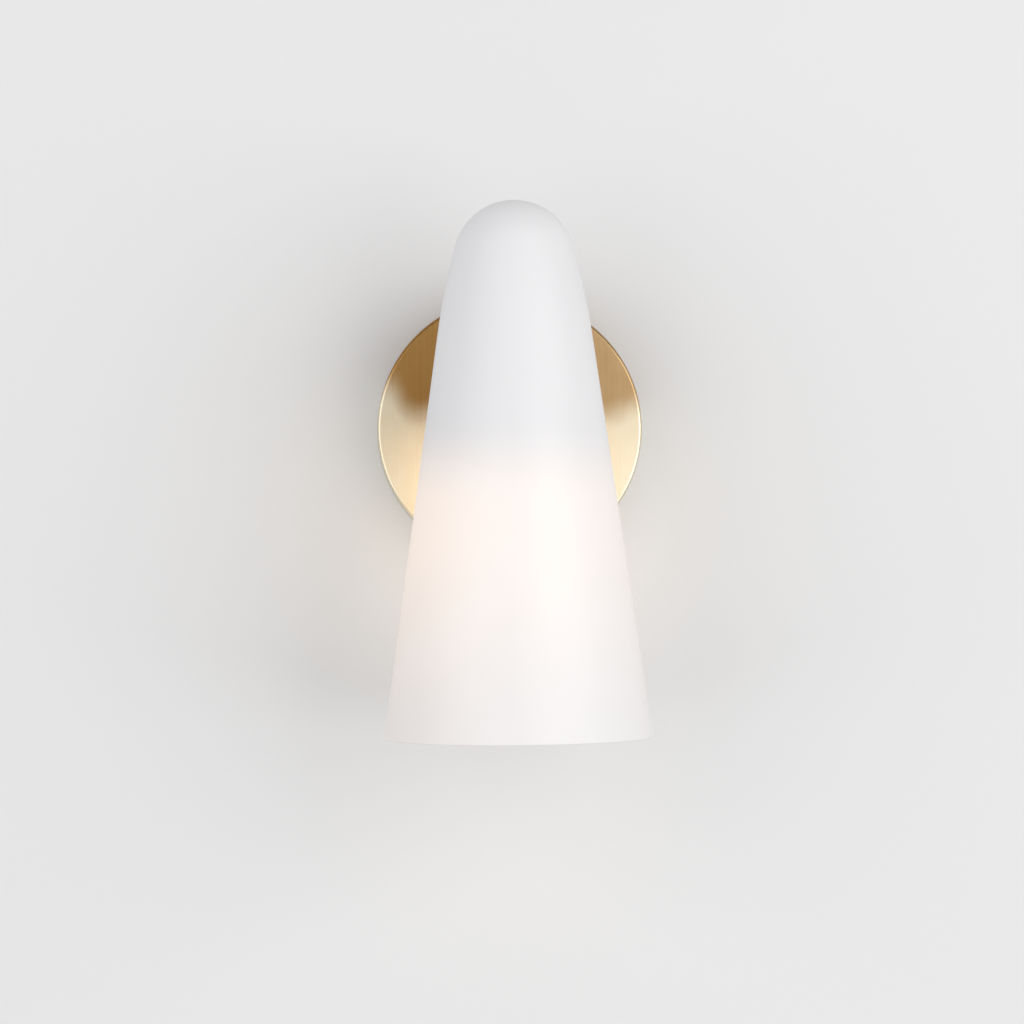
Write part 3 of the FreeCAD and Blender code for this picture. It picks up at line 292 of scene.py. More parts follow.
@dataclass(frozen=True)
class SatinOpalGlass:
    """Opal glass with an acid-etched satin skin, lit from within below the shield.

    The skin is white and scatters every highlight wide. The glow is warm and starts softly
    under the shield, is fullest beside the lamp and fades to the rim. The side towards the
    wall glows whiter and much stronger: painted light that lights the brass plate and shows
    in its reflection. The glow is also painted stronger on the left flank and weaker on the
    right, to stand in for the studio light falling from the right.
    """

    shade: "GlassShade"
    name: str = "glass_opal_satin"
    skin: str = "f1f0ef"
    cloud: str = "eceae9"
    cloud_cell: Triple = (30 * MM, 30 * MM, 60 * MM)
    etch_cell: Triple = (0.5 * MM, 0.5 * MM, 0.5 * MM)
    wave_cell: Triple = (26 * MM, 26 * MM, 90 * MM)
    wave: float = 0.06
    wave_depth: float = 1.0 * MM
    roughness: float = 0.46
    rough_spread: float = 0.04
    refraction: float = 1.52
    warm: str = "ffcb8f"
    pale: str = "ffe8cf"
    strength: float = 0.16
    inner_strength: float = 0.2
    inner_span: Pair = (0.8 * MM, 2.0 * MM)
    rise_span: Pair = (4 * MM, -36 * MM)
    fade_from: float = -44 * MM
    rim_share: float = 0.34
    # Rear fields: painted light, a much stronger and whiter glow towards the wall that lights the
    # brass plate.
    rear_span: Pair = (-90 * MM, -62 * MM)
    rear_rise: Pair = (16 * MM, -8 * MM)
    rear_fall: Pair = (-48 * MM, -105 * MM)
    rear_low: float = 0.2
    rear_gain: float = 5.8
    # Side fields: glow painted stronger on the left flank and weaker on the right, in place of the
    # studio light falling from the right.
    left_span: Pair = (-42 * MM, -2 * MM)
    left_gain: Pair = (1.6, 1.05)
    right_span: Pair = (0.0, 45 * MM)
    right_gain: Pair = (1.0, 0.8)

    def build(self) -> Material:
        """Return the material."""
        nodes = Nodes(bpy.data.materials.new(self.name))
        etch = nodes.pattern(self.etch_cell, 1.0)
        waves = nodes.pattern(self.wave_cell, 0.0)
        rear = nodes.ramp(nodes.axes[1], self.rear_span)
        inner = self.inner_skin(nodes)
        return nodes.surface({
            "Base Color": nodes.blend(nodes.pattern(self.cloud_cell), self.skin, self.cloud),
            "Roughness": nodes.vary(etch, self.roughness, self.rough_spread),
            "Normal": nodes.relief(waves, self.wave, self.wave_depth),
            "IOR": self.refraction,
            "Emission Color": nodes.blend(nodes.maths("MAXIMUM", rear, inner),
                                          self.warm, self.pale),
            "Emission Strength": self.glow(nodes, rear, inner)})

    def glow(self, nodes: Nodes, rear: Socket, inner: Socket) -> Socket:
        """Strength of the glow from its place on the shade.

        Args:
            nodes: Nodes of the material.
            rear: How far the place is turned to the wall.
            inner: One on the inner skin, nought on the outer.

        Returns:
            Socket with the strength.
        """
        across, _, height = nodes.axes
        rise = nodes.ramp(height, self.rise_span)
        fade = nodes.ramp(height, (self.fade_from, self.shade.foot), (1.0, self.rim_share))
        # Painted light: stronger on the left, weaker on the right, much stronger towards the wall.
        left = nodes.ramp(across, self.left_span, self.left_gain)
        right = nodes.ramp(across, self.right_span, self.right_gain)
        fall = nodes.ramp(height, self.rear_fall, (1.0, self.rear_low))
        behind = nodes.product(nodes.ramp(height, self.rear_rise), rear, fall)
        both = nodes.maths("MULTIPLY_ADD", behind, self.rear_gain - 1, rise)
        return nodes.add("Mix", {"data_type": "FLOAT"}, {
            0: inner, 2: nodes.product(both, fade, left, right, self.strength),
            3: nodes.product(rise, self.inner_strength)}).outputs[0]

    def inner_skin(self, nodes: Nodes) -> Socket:
        """One on the smooth inner skin, nought on the etched outer skin.

        Args:
            nodes: Nodes of the material.

        Returns:
            Socket with the number.
        """
        across, depth, height = nodes.axes
        radius = nodes.length(across, nodes.maths("ADD", depth, self.shade.placing.reach))
        slope = math.tan(self.shade.tilt)
        outer = nodes.maths("MULTIPLY_ADD", height, -slope,
                            self.shade.rim_rad + self.shade.foot * slope)
        return nodes.ramp(nodes.maths("SUBTRACT", outer, radius), self.inner_span)


@dataclass(frozen=True)
class PlainFinish:
    """A finish of two close colours, a roughness range and a fine surface grain."""

    name: str
    light: str
    deep: str
    roughness: float
    grain_mm: float = 0.6
    metallic: float = 0.0
    relief: float = 0.1
    relief_depth: float = 0.05 * MM
    rough_spread: float = 0.06
    refraction: float = 1.5
    glow: float = 0.0

    def build(self) -> Material:
        """Return the material."""
        nodes = Nodes(bpy.data.materials.new(self.name))
        grain = nodes.pattern((self.grain_mm * MM,) * 3)
        colour = nodes.blend(nodes.vary(grain, 0.5, 0.5), self.deep, self.light)
        inputs = {
            "Base Color": colour,
            "Roughness": nodes.vary(grain, self.roughness, self.rough_spread),
            "Normal": nodes.relief(grain, self.relief, self.relief_depth),
            "Metallic": self.metallic,
            "IOR": self.refraction}
        if self.glow:
            inputs |= {"Emission Color": colour, "Emission Strength": self.glow}
        return nodes.surface(inputs)


class Finishes:
    """Every material of the light, built once."""

    def __init__(self, shade: "GlassShade") -> None:
        """Build the materials.

        Args:
            shade: Shade whose shape the glow of the glass follows.
        """
        self.plate = BrushedBrass().build()
        # The turned brass takes the same painted shade towards the top, in deeper tones of its
        # own.
        turned = {"light": "e6c68d", "deep": "d3ac6c", "shaded_light": "dcb981",
                  "shaded_deep": "c9a163", "anisotropy": 0.5, "roughness": 0.34}
        self.arm = BrushedBrass(name="brass_turned_arm", grain=Grain.ROUND_ARM, **turned).build()
        self.hub = BrushedBrass(name="brass_turned_hub", grain=Grain.ROUND_SHADE,
                                **turned).build()
        self.opal = SatinOpalGlass(shade).build()
        (self.zinc, self.screw, self.nylon, self.rubber, self.enamel, self.steatite, self.pin,
         self.frosted, self.brown, self.blue) = [finish.build() for finish in (
             PlainFinish("steel_zinc_plated", "c4c7c8", "a3a7a8", 0.34, 0.8, 1.0),
             PlainFinish("brass_machined", "e2c084", "c79f5f", 0.28, 0.5, 1.0),
             PlainFinish("nylon_moulded", "e9e8e2", "dedcd4", 0.5, 0.9),
             PlainFinish("silicone_rubber_black", "232323", "171717", 0.7, 0.5),
             PlainFinish("enamel_white", "efeeea", "e6e4de", 0.35, 2.5),
             PlainFinish("steatite_ceramic", "e9e5da", "dcd6c8", 0.6, 0.4, relief=0.2),
             PlainFinish("steel_contact_bright", "d4d4d2", "b9b9b8", 0.2, 0.5, 1.0),
             PlainFinish("glass_frosted_lit", "fff0d8", "ffe9c8", 0.45, 0.4, glow=2.6),
             PlainFinish("pvc_lead_brown", "5a3a22", "48301e", 0.42, 0.7),
             PlainFinish("pvc_lead_blue", "2f62b0", "26549b", 0.42, 0.7))]


# ---------------------------------------------------------------- mesh tools

def arc(centre: Pair, radius: float, start: float, end: float, steps: int) -> list[Pair]:
    """Stations along an arc of a turned outline.

    Args:
        centre: Radius and height of the arc's centre.
        radius: Radius of the arc.
        start: First angle, in degrees from level.
        end: Last angle.
        steps: Number of spans.

    Returns:
        The stations, both ends included.
    """
    turns = [math.radians(start + (end - start) * step / steps) for step in range(steps + 1)]
    return [(centre[0] + radius * math.cos(turn), centre[1] + radius * math.sin(turn))
            for turn in turns]


def to_axis(stations: list[Pair]) -> list[Pair]:
    """Put the last station exactly on the axis."""
    return [*stations[:-1], (0.0, stations[-1][1])]


def in_mm(stations: list[Pair]) -> list[Pair]:
    """Turn stations given in millimetres into metres."""
    return [(radius * MM, along * MM) for radius, along in stations]


def cleaned(mesh: Mesh) -> Mesh:
    """Merge doubled points, drop edges without faces and turn every face outward."""
    bmesh.ops.remove_doubles(mesh, verts=mesh.verts[:], dist=0.001 * MM)
    bmesh.ops.dissolve_degenerate(mesh, dist=0.0005 * MM, edges=mesh.edges[:])
    loose = [edge for edge in mesh.edges if not edge.link_faces]
    bmesh.ops.delete(mesh, geom=loose, context="EDGES")
    bmesh.ops.recalc_face_normals(mesh, faces=mesh.faces[:])
    return mesh


def spun(outline: list[Pair], steps: int = 96) -> Mesh:
    """Spin a closed outline of (radius, along) stations about Z.

    Args:
        outline: Stations of the section.
        steps: Number of steps round the axis.

    Returns:
        The mesh, with its normals pointing out.
    """
    mesh = bmesh.new()
    verts = [mesh.verts.new((radius, 0, along)) for radius, along in outline]
    for one, other in zip(verts, verts[1:] + verts[:1]):
        mesh.edges.new((one, other))
    bmesh.ops.spin(mesh, geom=mesh.verts[:] + mesh.edges[:], axis=(0, 0, 1), cent=(0, 0, 0),
                   angle=math.tau, steps=steps, use_merge=True)
    return cleaned(mesh)


def ease_edges(mesh: Mesh, size: float, segments: int = 2, sharp: float = 35.0) -> Mesh:
    """Bevel every edge sharper than an angle.

    Args:
        mesh: Mesh that is changed.
        size: Width of the easing.
        segments: Facets across it.
        sharp: Least angle between faces, in degrees.

    Returns:
        The same mesh.
    """
    limit = math.radians(sharp)
    edges = [edge for edge in mesh.edges
             if len(edge.link_faces) == 2 and edge.calc_face_angle(0.0) > limit]
    if edges:
        bmesh.ops.bevel(mesh, geom=edges, offset=size, offset_type="OFFSET", segments=segments,
                        profile=0.5, affect="EDGES", clamp_overlap=True, material=-1)
    return mesh


def lathe(outline: list[Pair], ease: float, steps: int = 96) -> Mesh:
    """Turn a piece from stations in millimetres and ease its edges by so many millimetres."""
    return ease_edges(spun(in_mm(outline), steps), ease * MM, 3)


def bridge(mesh: Mesh, rows: list[list[bmesh.types.BMVert]]) -> None:
    """Join each row of points, which is a closed ring, to the next one with faces."""
    for row, after in zip(rows, rows[1:]):
        for index in range(len(row)):
            mesh.faces.new((row[index - 1], row[index], after[index], after[index - 1]))


def ring(mesh: Mesh, turn: float, section: list[Pair]) -> list[bmesh.types.BMVert]:
    """Add the points of a (radius, along) section that stands at an angle about Z."""
    return [mesh.verts.new((radius * math.cos(turn), radius * math.sin(turn), along))
            for radius, along in section]


def swept(section: Callable[[float], list[Pair]], steps: int) -> Mesh:
    """Closed piece about Z whose section changes with the angle, such as a hexagon nut.

    Args:
        section: Gives the closed section's stations for an angle, always as many.
        steps: Number of steps round the axis.

    Returns:
        The mesh, with its normals pointing out.
    """
    mesh = bmesh.new()
    turns = [math.tau * step / steps for step in range(steps)]
    rows = [ring(mesh, turn, section(turn)) for turn in turns]
    bridge(mesh, rows + rows[:1])
    return cleaned(mesh)


def thread(core: float, crest: float, pitch: float, low: float, high: float,
           steps: int = 24) -> Mesh:
    """Helical ridge of a rolled thread about Z, sunk a little into its core.

    Args:
        core: Radius of the core.
        crest: Radius over the ridge.
        pitch: Rise in one turn.
        low: Where the thread starts.
        high: Where it ends.
        steps: Steps in one turn.

    Returns:
        The closed ridge, run out to nothing at both ends.
    """
    mesh = bmesh.new()
    count = int(((high - low) / pitch - 1) * steps)
    root = 0.97 * core
    root_half, crest_half = 0.48 * pitch, 0.07 * pitch
    rows = []
    for step in range(count + 1):
        along = low + pitch * (0.5 + step / steps)
        top = core + (crest - core) * min(1.0, 2 * step / steps, 2 * (count - step) / steps)
        rows.append(ring(mesh, math.tau * step / steps, [
            (root, along - root_half), (top, along - crest_half), (top, along + crest_half),
            (root, along + root_half)]))
    bridge(mesh, rows)
    mesh.faces.new(rows[0][::-1])
    mesh.faces.new(rows[-1])
    bmesh.ops.recalc_face_normals(mesh, faces=mesh.faces[:])
    return mesh


def prism(points: list[Pair], low: float, high: float) -> Mesh:
    """Closed prism: an outline in X and Y, drawn out along Z between two heights."""
    mesh = bmesh.new()
    under, over = [[mesh.verts.new((across, up, height)) for across, up in points]
                   for height in (low, high)]
    mesh.faces.new(under[::-1])
    mesh.faces.new(over)
    bridge(mesh, [under, over])
    return cleaned(mesh)


def stadium(middle: Pair, half: float, radius: float) -> list[Pair]:
    """Outline of a round-ended slot that is long in its second direction."""
    return (arc((middle[0], middle[1] + half), radius, 0, 180, 16)
            + arc((middle[0], middle[1] - half), radius, 180, 360, 16))


def cylinder(radius: float, low: float, high: float, steps: int = 48) -> Mesh:
    """Closed cylinder along Z between two heights."""
    mesh = bmesh.new()
    middle = Matrix.Translation((0, 0, (low + high) / 2))
    bmesh.ops.create_cone(mesh, cap_ends=True, segments=steps, radius1=radius, radius2=radius,
                          depth=high - low, matrix=middle)
    return mesh


def block(low: Triple, high: Triple) -> Mesh:
    """Closed box between two corners."""
    size = [b - a for a, b in zip(low, high)]
    middle = Matrix.Translation([(a + b) / 2 for a, b in zip(low, high)])
    mesh = bmesh.new()
    bmesh.ops.create_cube(mesh, size=1.0, matrix=middle @ Matrix.Diagonal((*size, 1)))
    return mesh


def hex_nut(across: float, bore: float, low: float, high: float) -> Mesh:
    """Hexagon nut, both faces chamfered at 30 degrees and the bore countersunk.

    Args:
        across: Width across the flats.
        bore: Radius of the bore.
        low: Where the nut starts along Z.
        high: Where it ends.

    Returns:
        The mesh.
    """
    half = across / 2
    face = 0.97 * half
    lean = math.tan(math.radians(30))
    sink = 0.4 * MM

    def section(turn: float) -> list[Pair]:
        """Section of the nut at an angle."""
        edge = half / math.cos(turn % (math.tau / 6) - math.tau / 12)
        drop = (edge - face) * lean
        return [(bore + sink, low), (face, low), (edge, low + drop), (edge, high - drop),
                (face, high), (bore + sink, high), (bore, high - sink), (bore, low + sink)]

    return swept(section, 72)


# ---------------------------------------------------------------- pieces

def shade_smooth(mesh: Mesh, smooth: float) -> None:
    """Shade faces smoothly across every edge that is flatter than an angle in degrees."""
    limit = math.radians(smooth)
    for face in mesh.faces:
        face.smooth = True
    for edge in mesh.edges:
        edge.smooth = len(edge.link_faces) == 2 and edge.calc_face_angle(0.0) < limit


def add_object(name: str, data: bpy.types.ID) -> Piece:
    """Add a mesh, lamp or camera to the scene as an object."""
    made = bpy.data.objects.new(name, data)
    bpy.context.scene.collection.objects.link(made)
    return made


def finish_mesh(name: str, mesh: Mesh, place: Matrix | None = None,
                smooth: float = 40.0) -> Piece:
    """Turn a bmesh into a smooth-shaded object at the origin.

    Args:
        name: Name of the piece.
        mesh: Its bmesh, which is freed.
        place: Matrix that is applied to its points.
        smooth: Angle under which faces shade smoothly, in degrees.

    Returns:
        The object, linked to the scene.
    """
    if place is not None:
        bmesh.ops.transform(mesh, matrix=place, verts=mesh.verts[:])
    shade_smooth(mesh, smooth)
    data = bpy.data.meshes.new(name)
    mesh.to_mesh(data)
    mesh.free()
    return add_object(name, data)


def cut_away(piece: Piece, tools: Sequence[Cutter], smooth: float = 40.0) -> None:
    """Cut closed shapes out of a piece, as a drill, a mill or a saw would.

    Args:
        piece: Piece that is cut.
        tools: Closed shapes, each with the matrix that places it.
        smooth: Angle under which faces shade smoothly afterwards, in degrees.
    """
    cutters = [finish_mesh("cutter", mesh, place) for mesh, place in tools]
    for cutter in cutters:
        step = piece.modifiers.new("cut", "BOOLEAN")
        step.operation = "DIFFERENCE"
        step.solver = "EXACT"
        step.object = cutter
    bpy.context.view_layer.update()
    graph = bpy.context.evaluated_depsgraph_get()
    made = bpy.data.meshes.new_from_object(piece.evaluated_get(graph))
    piece.modifiers.clear()
    piece.data = made
    for cutter in cutters:
        bpy.data.objects.remove(cutter)
    mesh = bmesh.new()
    mesh.from_mesh(made)
    shade_smooth(cleaned(mesh), smooth)
    mesh.to_mesh(made)
    mesh.free()


def joined(pieces: list[Piece]) -> Piece:
    """Gather closed shells, such as a thread and its core, in the first piece."""
    mesh = bmesh.new()
    for piece in pieces:
        mesh.from_mesh(piece.data)
    for other in pieces[1:]:
        bpy.data.objects.remove(other)
    mesh.to_mesh(pieces[0].data)
    mesh.free()
    return pieces[0]


def aimed(place: Triple, towards: Triple = ROOM) -> Matrix:
    """Matrix that puts a piece drawn along Z at a place, its top pointing in a direction."""
    turn = Vector(towards).to_track_quat("Z", "Y").to_matrix().to_4x4()
    return Matrix.Translation(place) @ turn


def side_on(across: float = 0.0, depth: float = 0.0) -> Matrix:
    """Matrix that stands a prism up side on: its X, Y and Z lie along Y, Z and X."""
    return Matrix(((0, 0, 1, across), (1, 0, 0, depth), (0, 1, 0, 0), (0, 0, 0, 1)))


def map_brushing(piece: Piece, place: Matrix | None = None) -> None:
    """Give a piece the UV map whose U runs across the lines of brushing or turning.

    Args:
        piece: The piece.
        place: Matrix of its turning axis, or nothing for a face brushed upright.
    """
    layer = piece.data.uv_layers.new(name=BRUSHING)
    back = place.inverted() if place is not None else None
    for face in piece.data.polygons:
        first = None
        for loop in face.loop_indices:
            point = piece.data.vertices[piece.data.loops[loop].vertex_index].co
            if back is None:
                layer.data[loop].uv = (point.x * UV_PER_METRE + UV_EDGE_SLANT * point.y,
                                       point.z * UV_PER_METRE)
                continue
            point = back @ point
            turn = math.atan2(point.y, point.x) / math.tau
            first = turn if first is None else first
            turn += round(first - turn)
            radius = math.hypot(point.x, point.y)
            layer.data[loop].uv = (point.z * UV_PER_METRE + radius * UV_FACE_SLANT, turn)


def dress(piece: Piece, material: Material) -> None:
    """Give a piece one material."""
    piece.data.materials.clear()
    piece.data.materials.append(material)


def seat(piece: Piece, material: Material, node: str, body: str = "fixture") -> None:
    """Dress a piece, let it ride and say which CAD node it stands for.

    Args:
        piece: The piece.
        material: Its finish.
        node: CAD node that it replaces.
        body: Body that it rides on.
    """
    dress(piece, material)
    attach(piece, body)
    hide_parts(node)
    LOG.info("%s stands for %s: %d faces", piece.name, node, len(piece.data.polygons))


class Making(Enum):
    """How a round piece was made, which ends its name."""

    TURNED = "turned"
    PRESSED = "made"


def seat_round(node: str, material: Material, mesh: Mesh, place: Matrix, *,
               holes: Sequence[Cutter] = (), smooth: float = 40.0, body: str = "fixture",
               making: Making = Making.TURNED) -> None:
    """Put a round piece on its axis, drill it and dress it.

    Args:
        node: CAD node that it replaces.
        material: Its finish.
        mesh: Its shape about Z.
        place: Matrix of its axis.
        holes: Closed shapes that are cut out of it.
        smooth: Angle under which faces shade smoothly, in degrees.
        body: Body that it rides on.
        making: Whether it carries the lines of a lathe.
    """
    piece = finish_mesh(f"{node}_{making.value}", mesh, place, smooth)
    if holes:
        cut_away(piece, holes)
    if making is Making.TURNED:
        map_brushing(piece, place)
    seat(piece, material, node, body)


# ---------------------------------------------------------------- sub-assemblies

@dataclass(frozen=True)
class Placing:
    """Places that several groups share: the two axes, read from the CAD parts, and the screws."""

    reach: float
    edge_screw_y: float = -8 * MM
    holder_screw_reach: float = 7.4 * MM

    @property
    def arm(self) -> Matrix:
        """Matrix that carries a piece spun about Z on to the arm's axis."""
        return Matrix.Rotation(math.radians(90), 4, "X")

    @property
    def shade(self) -> Matrix:
        """Matrix that carries a piece spun about Z on to the shade's axis."""
        return Matrix.Translation((0, -self.reach, 0))

    def edge_screw(self, way: int, height: float = 0.0) -> Matrix:
        """Matrix of the plate's upper (1) or lower (-1) edge screw, at a height from the arm."""
        return aimed((0, self.edge_screw_y, way * height), (0, 0, way))

    def holder_drills(self, radius: float, low: float, high: float) -> list[Cutter]:
        """Drills for the two screws that hold the lampholder."""
        return [(cylinder(radius, low, high),
                 Matrix.Translation((0, side * self.holder_screw_reach - self.reach, 0)))
                for side in SIDES]


@dataclass
class GlassShade:
    """Blown opal shade: domed top, long soft shoulder, straight flare and a ground rim."""

    placing: Placing
    wall: float = 3.0 * MM
    flare: float = 8.05
    shoulder_rad: float = 310 * MM
    shoulder_inset: float = 2.58 * MM
    rim_rad: float = 62 * MM
    rim_ease: float = 0.7 * MM
    hole_rad: float = 6.2 * MM
    drill: Pair = (40 * MM, 80 * MM)
    cone_spans: int = 26
    smooth: float = 60.0
    top: float = field(init=False)
    foot: float = field(init=False)
    dome_rad: float = field(init=False)

    def __post_init__(self) -> None:
        """Read the shade's height from the CAD parts and fit its dome."""
        low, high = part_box("shade")
        self.top = high[2]
        self.foot = low[2]
        tip = self.rim_rad - (self.top - self.foot) * math.tan(self.tilt)
        self.dome_rad = ((tip * math.cos(self.tilt) - self.shoulder_inset)
                         / (1 - math.sin(self.tilt)))

    @property
    def tilt(self) -> float:
        """Angle of the flare, in radians."""
        return math.radians(self.flare)

    def side(self, inset: float) -> list[Pair]:
        """Stations of one side of the wall.

        Args:
            inset: Depth below the outer skin.

        Returns:
            Stations from rim to apex.
        """
        lean_x, lean_z = math.sin(self.tilt), math.cos(self.tilt)
        centre = (0.0, self.top - self.dome_rad)
        start = (self.rim_rad - self.shoulder_rad * lean_z,
                 self.foot - self.shoulder_rad * lean_x)
        offset = (start[0] - centre[0], start[1] - centre[1])
        spread = -offset[0] * lean_x + offset[1] * lean_z
        constant = (offset[0] ** 2 + offset[1] ** 2
                    - (self.shoulder_rad - self.dome_rad) ** 2)
        run = -spread - math.sqrt(spread ** 2 - constant)
        middle = (start[0] - run * lean_x, start[1] + run * lean_z)
        meet = math.degrees(math.atan2(centre[1] - middle[1], centre[0] - middle[0]))
        shoulder = arc(middle, self.shoulder_rad - inset, self.flare, meet, 10)
        dome = to_axis(arc(centre, self.dome_rad - inset, meet, 90, 22))
        rim = (self.rim_rad - inset / lean_z, self.foot)
        join = shoulder[0]
        cone = [(rim[0] + (join[0] - rim[0]) * step / self.cone_spans,
                 rim[1] + (join[1] - rim[1]) * step / self.cone_spans)
                for step in range(self.cone_spans)]
        return cone + shoulder + dome[1:]

    def build(self, finishes: Finishes) -> None:
        """Blow the shade, grind its rim, drill it for the arm and dress it."""
        mesh = spun(self.side(0.0) + self.side(self.wall)[::-1], 144)
        ease_edges(mesh, self.rim_ease, 3, 50)
        shade = finish_mesh("opal_shade", mesh, self.placing.shade, self.smooth)
        cut_away(shade, [(cylinder(self.hole_rad, *self.drill), self.placing.arm)], self.smooth)
        seat(shade, finishes.opal, "shade")

    def skin_at(self, across: float, up: float, inset: float) -> float:
        """Distance of the glass from the wall, on the side that faces it.

        Args:
            across: Place along X.
            up: Place along Z.
            inset: Depth below the outer skin.

        Returns:
            The distance, in metres.
        """
        radius = (self.rim_rad - inset / math.cos(self.tilt)
                  - (up - self.foot) * math.tan(self.tilt))
        return self.placing.reach - math.sqrt(radius ** 2 - across ** 2)


@dataclass
class WallPlate:
    """Spun brass backplate: flat brushed face, rolled edge, open back."""

    placing: Placing
    wall: float = 1.2 * MM
    edge: float = 1.6 * MM
    hole_rad: float = 5.1 * MM
    side_hole: float = 2.1 * MM
    side_drill: Pair = (60 * MM, 65 * MM)
    lip_ease: float = 0.2 * MM
    smooth: float = 25.0

    def build(self, finishes: Finishes) -> None:
        """Spin the plate, drill its edge, brush it upright and dress it."""
        low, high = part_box("backplate")
        radius = (high[0] - low[0]) / 2
        depth = -low[1]
        bend = (radius - self.edge, depth - self.edge)
        outline = [(radius, 0.0), *arc(bend, self.edge, 0, 90, 6), (self.hole_rad, depth),
                   (self.hole_rad, depth - self.wall),
                   *arc(bend, self.edge - self.wall, 90, 0, 4), (radius - self.wall, 0.0)]
        mesh = ease_edges(spun(outline, 192), self.lip_ease, 2, 50)
        plate = finish_mesh("brass_backplate", mesh, self.placing.arm, self.smooth)
        cut_away(plate, [(cylinder(self.side_hole, *self.side_drill),
                          self.placing.edge_screw(way)) for way in SIDES], self.smooth)
        map_brushing(plate)
        seat(plate, finishes.plate, "backplate")


@dataclass(frozen=True)
class Screw:
    """Slotted screw with a rolled thread, drawn along Z with its tail at zero."""

    shank: float
    length: float
    head: float = 0.0
    head_high: float = 0.0
    slot: float = 0.8 * MM
    pitch: float = 0.7 * MM
    point: float = 0.3 * MM
    ease: float = 0.12 * MM
    thread_share: float = 0.4
    crown_share: float = 0.4
    slot_share: float = 0.9

    def build(self, name: str, place: Matrix) -> Piece:
        """Turn the screw, saw its driver slot and roll its thread.

        Args:
            name: Name of the piece.
            place: Matrix that carries it from the origin to its seat.

        Returns:
            The screw.
        """
        core = self.shank - self.thread_share * self.pitch
        top = self.length + self.head_high
        outline = [(0.0, 0.0), (core - self.point, 0.0), (core, self.point),
                   (core, self.length)]
        if self.head:
            crown = self.crown_share * self.head_high
            outline += [(self.head, self.length), (self.head, top - crown)]
            outline += [(self.head * math.cos(math.radians(lean)),
                         top - crown + crown * math.sin(math.radians(lean)))
                        for lean in range(15, 90, 15)]
        outline.append((0.0, top))
        mesh = ease_edges(spun(outline, 48), self.ease)
        screw = finish_mesh(name, mesh, place)
        reach = 1.1 * (self.head or self.shank)
        saw = block((-reach, -self.slot / 2, top - self.slot_share * self.slot),
                    (reach, self.slot / 2, top + 1 * MM))
        cut_away(screw, [(saw, place)])
        ridge = thread(core, self.shank, self.pitch, 0.2 * MM, self.length - 0.1 * MM)
        return joined([screw, finish_mesh("ridge", ridge, place, 70)])


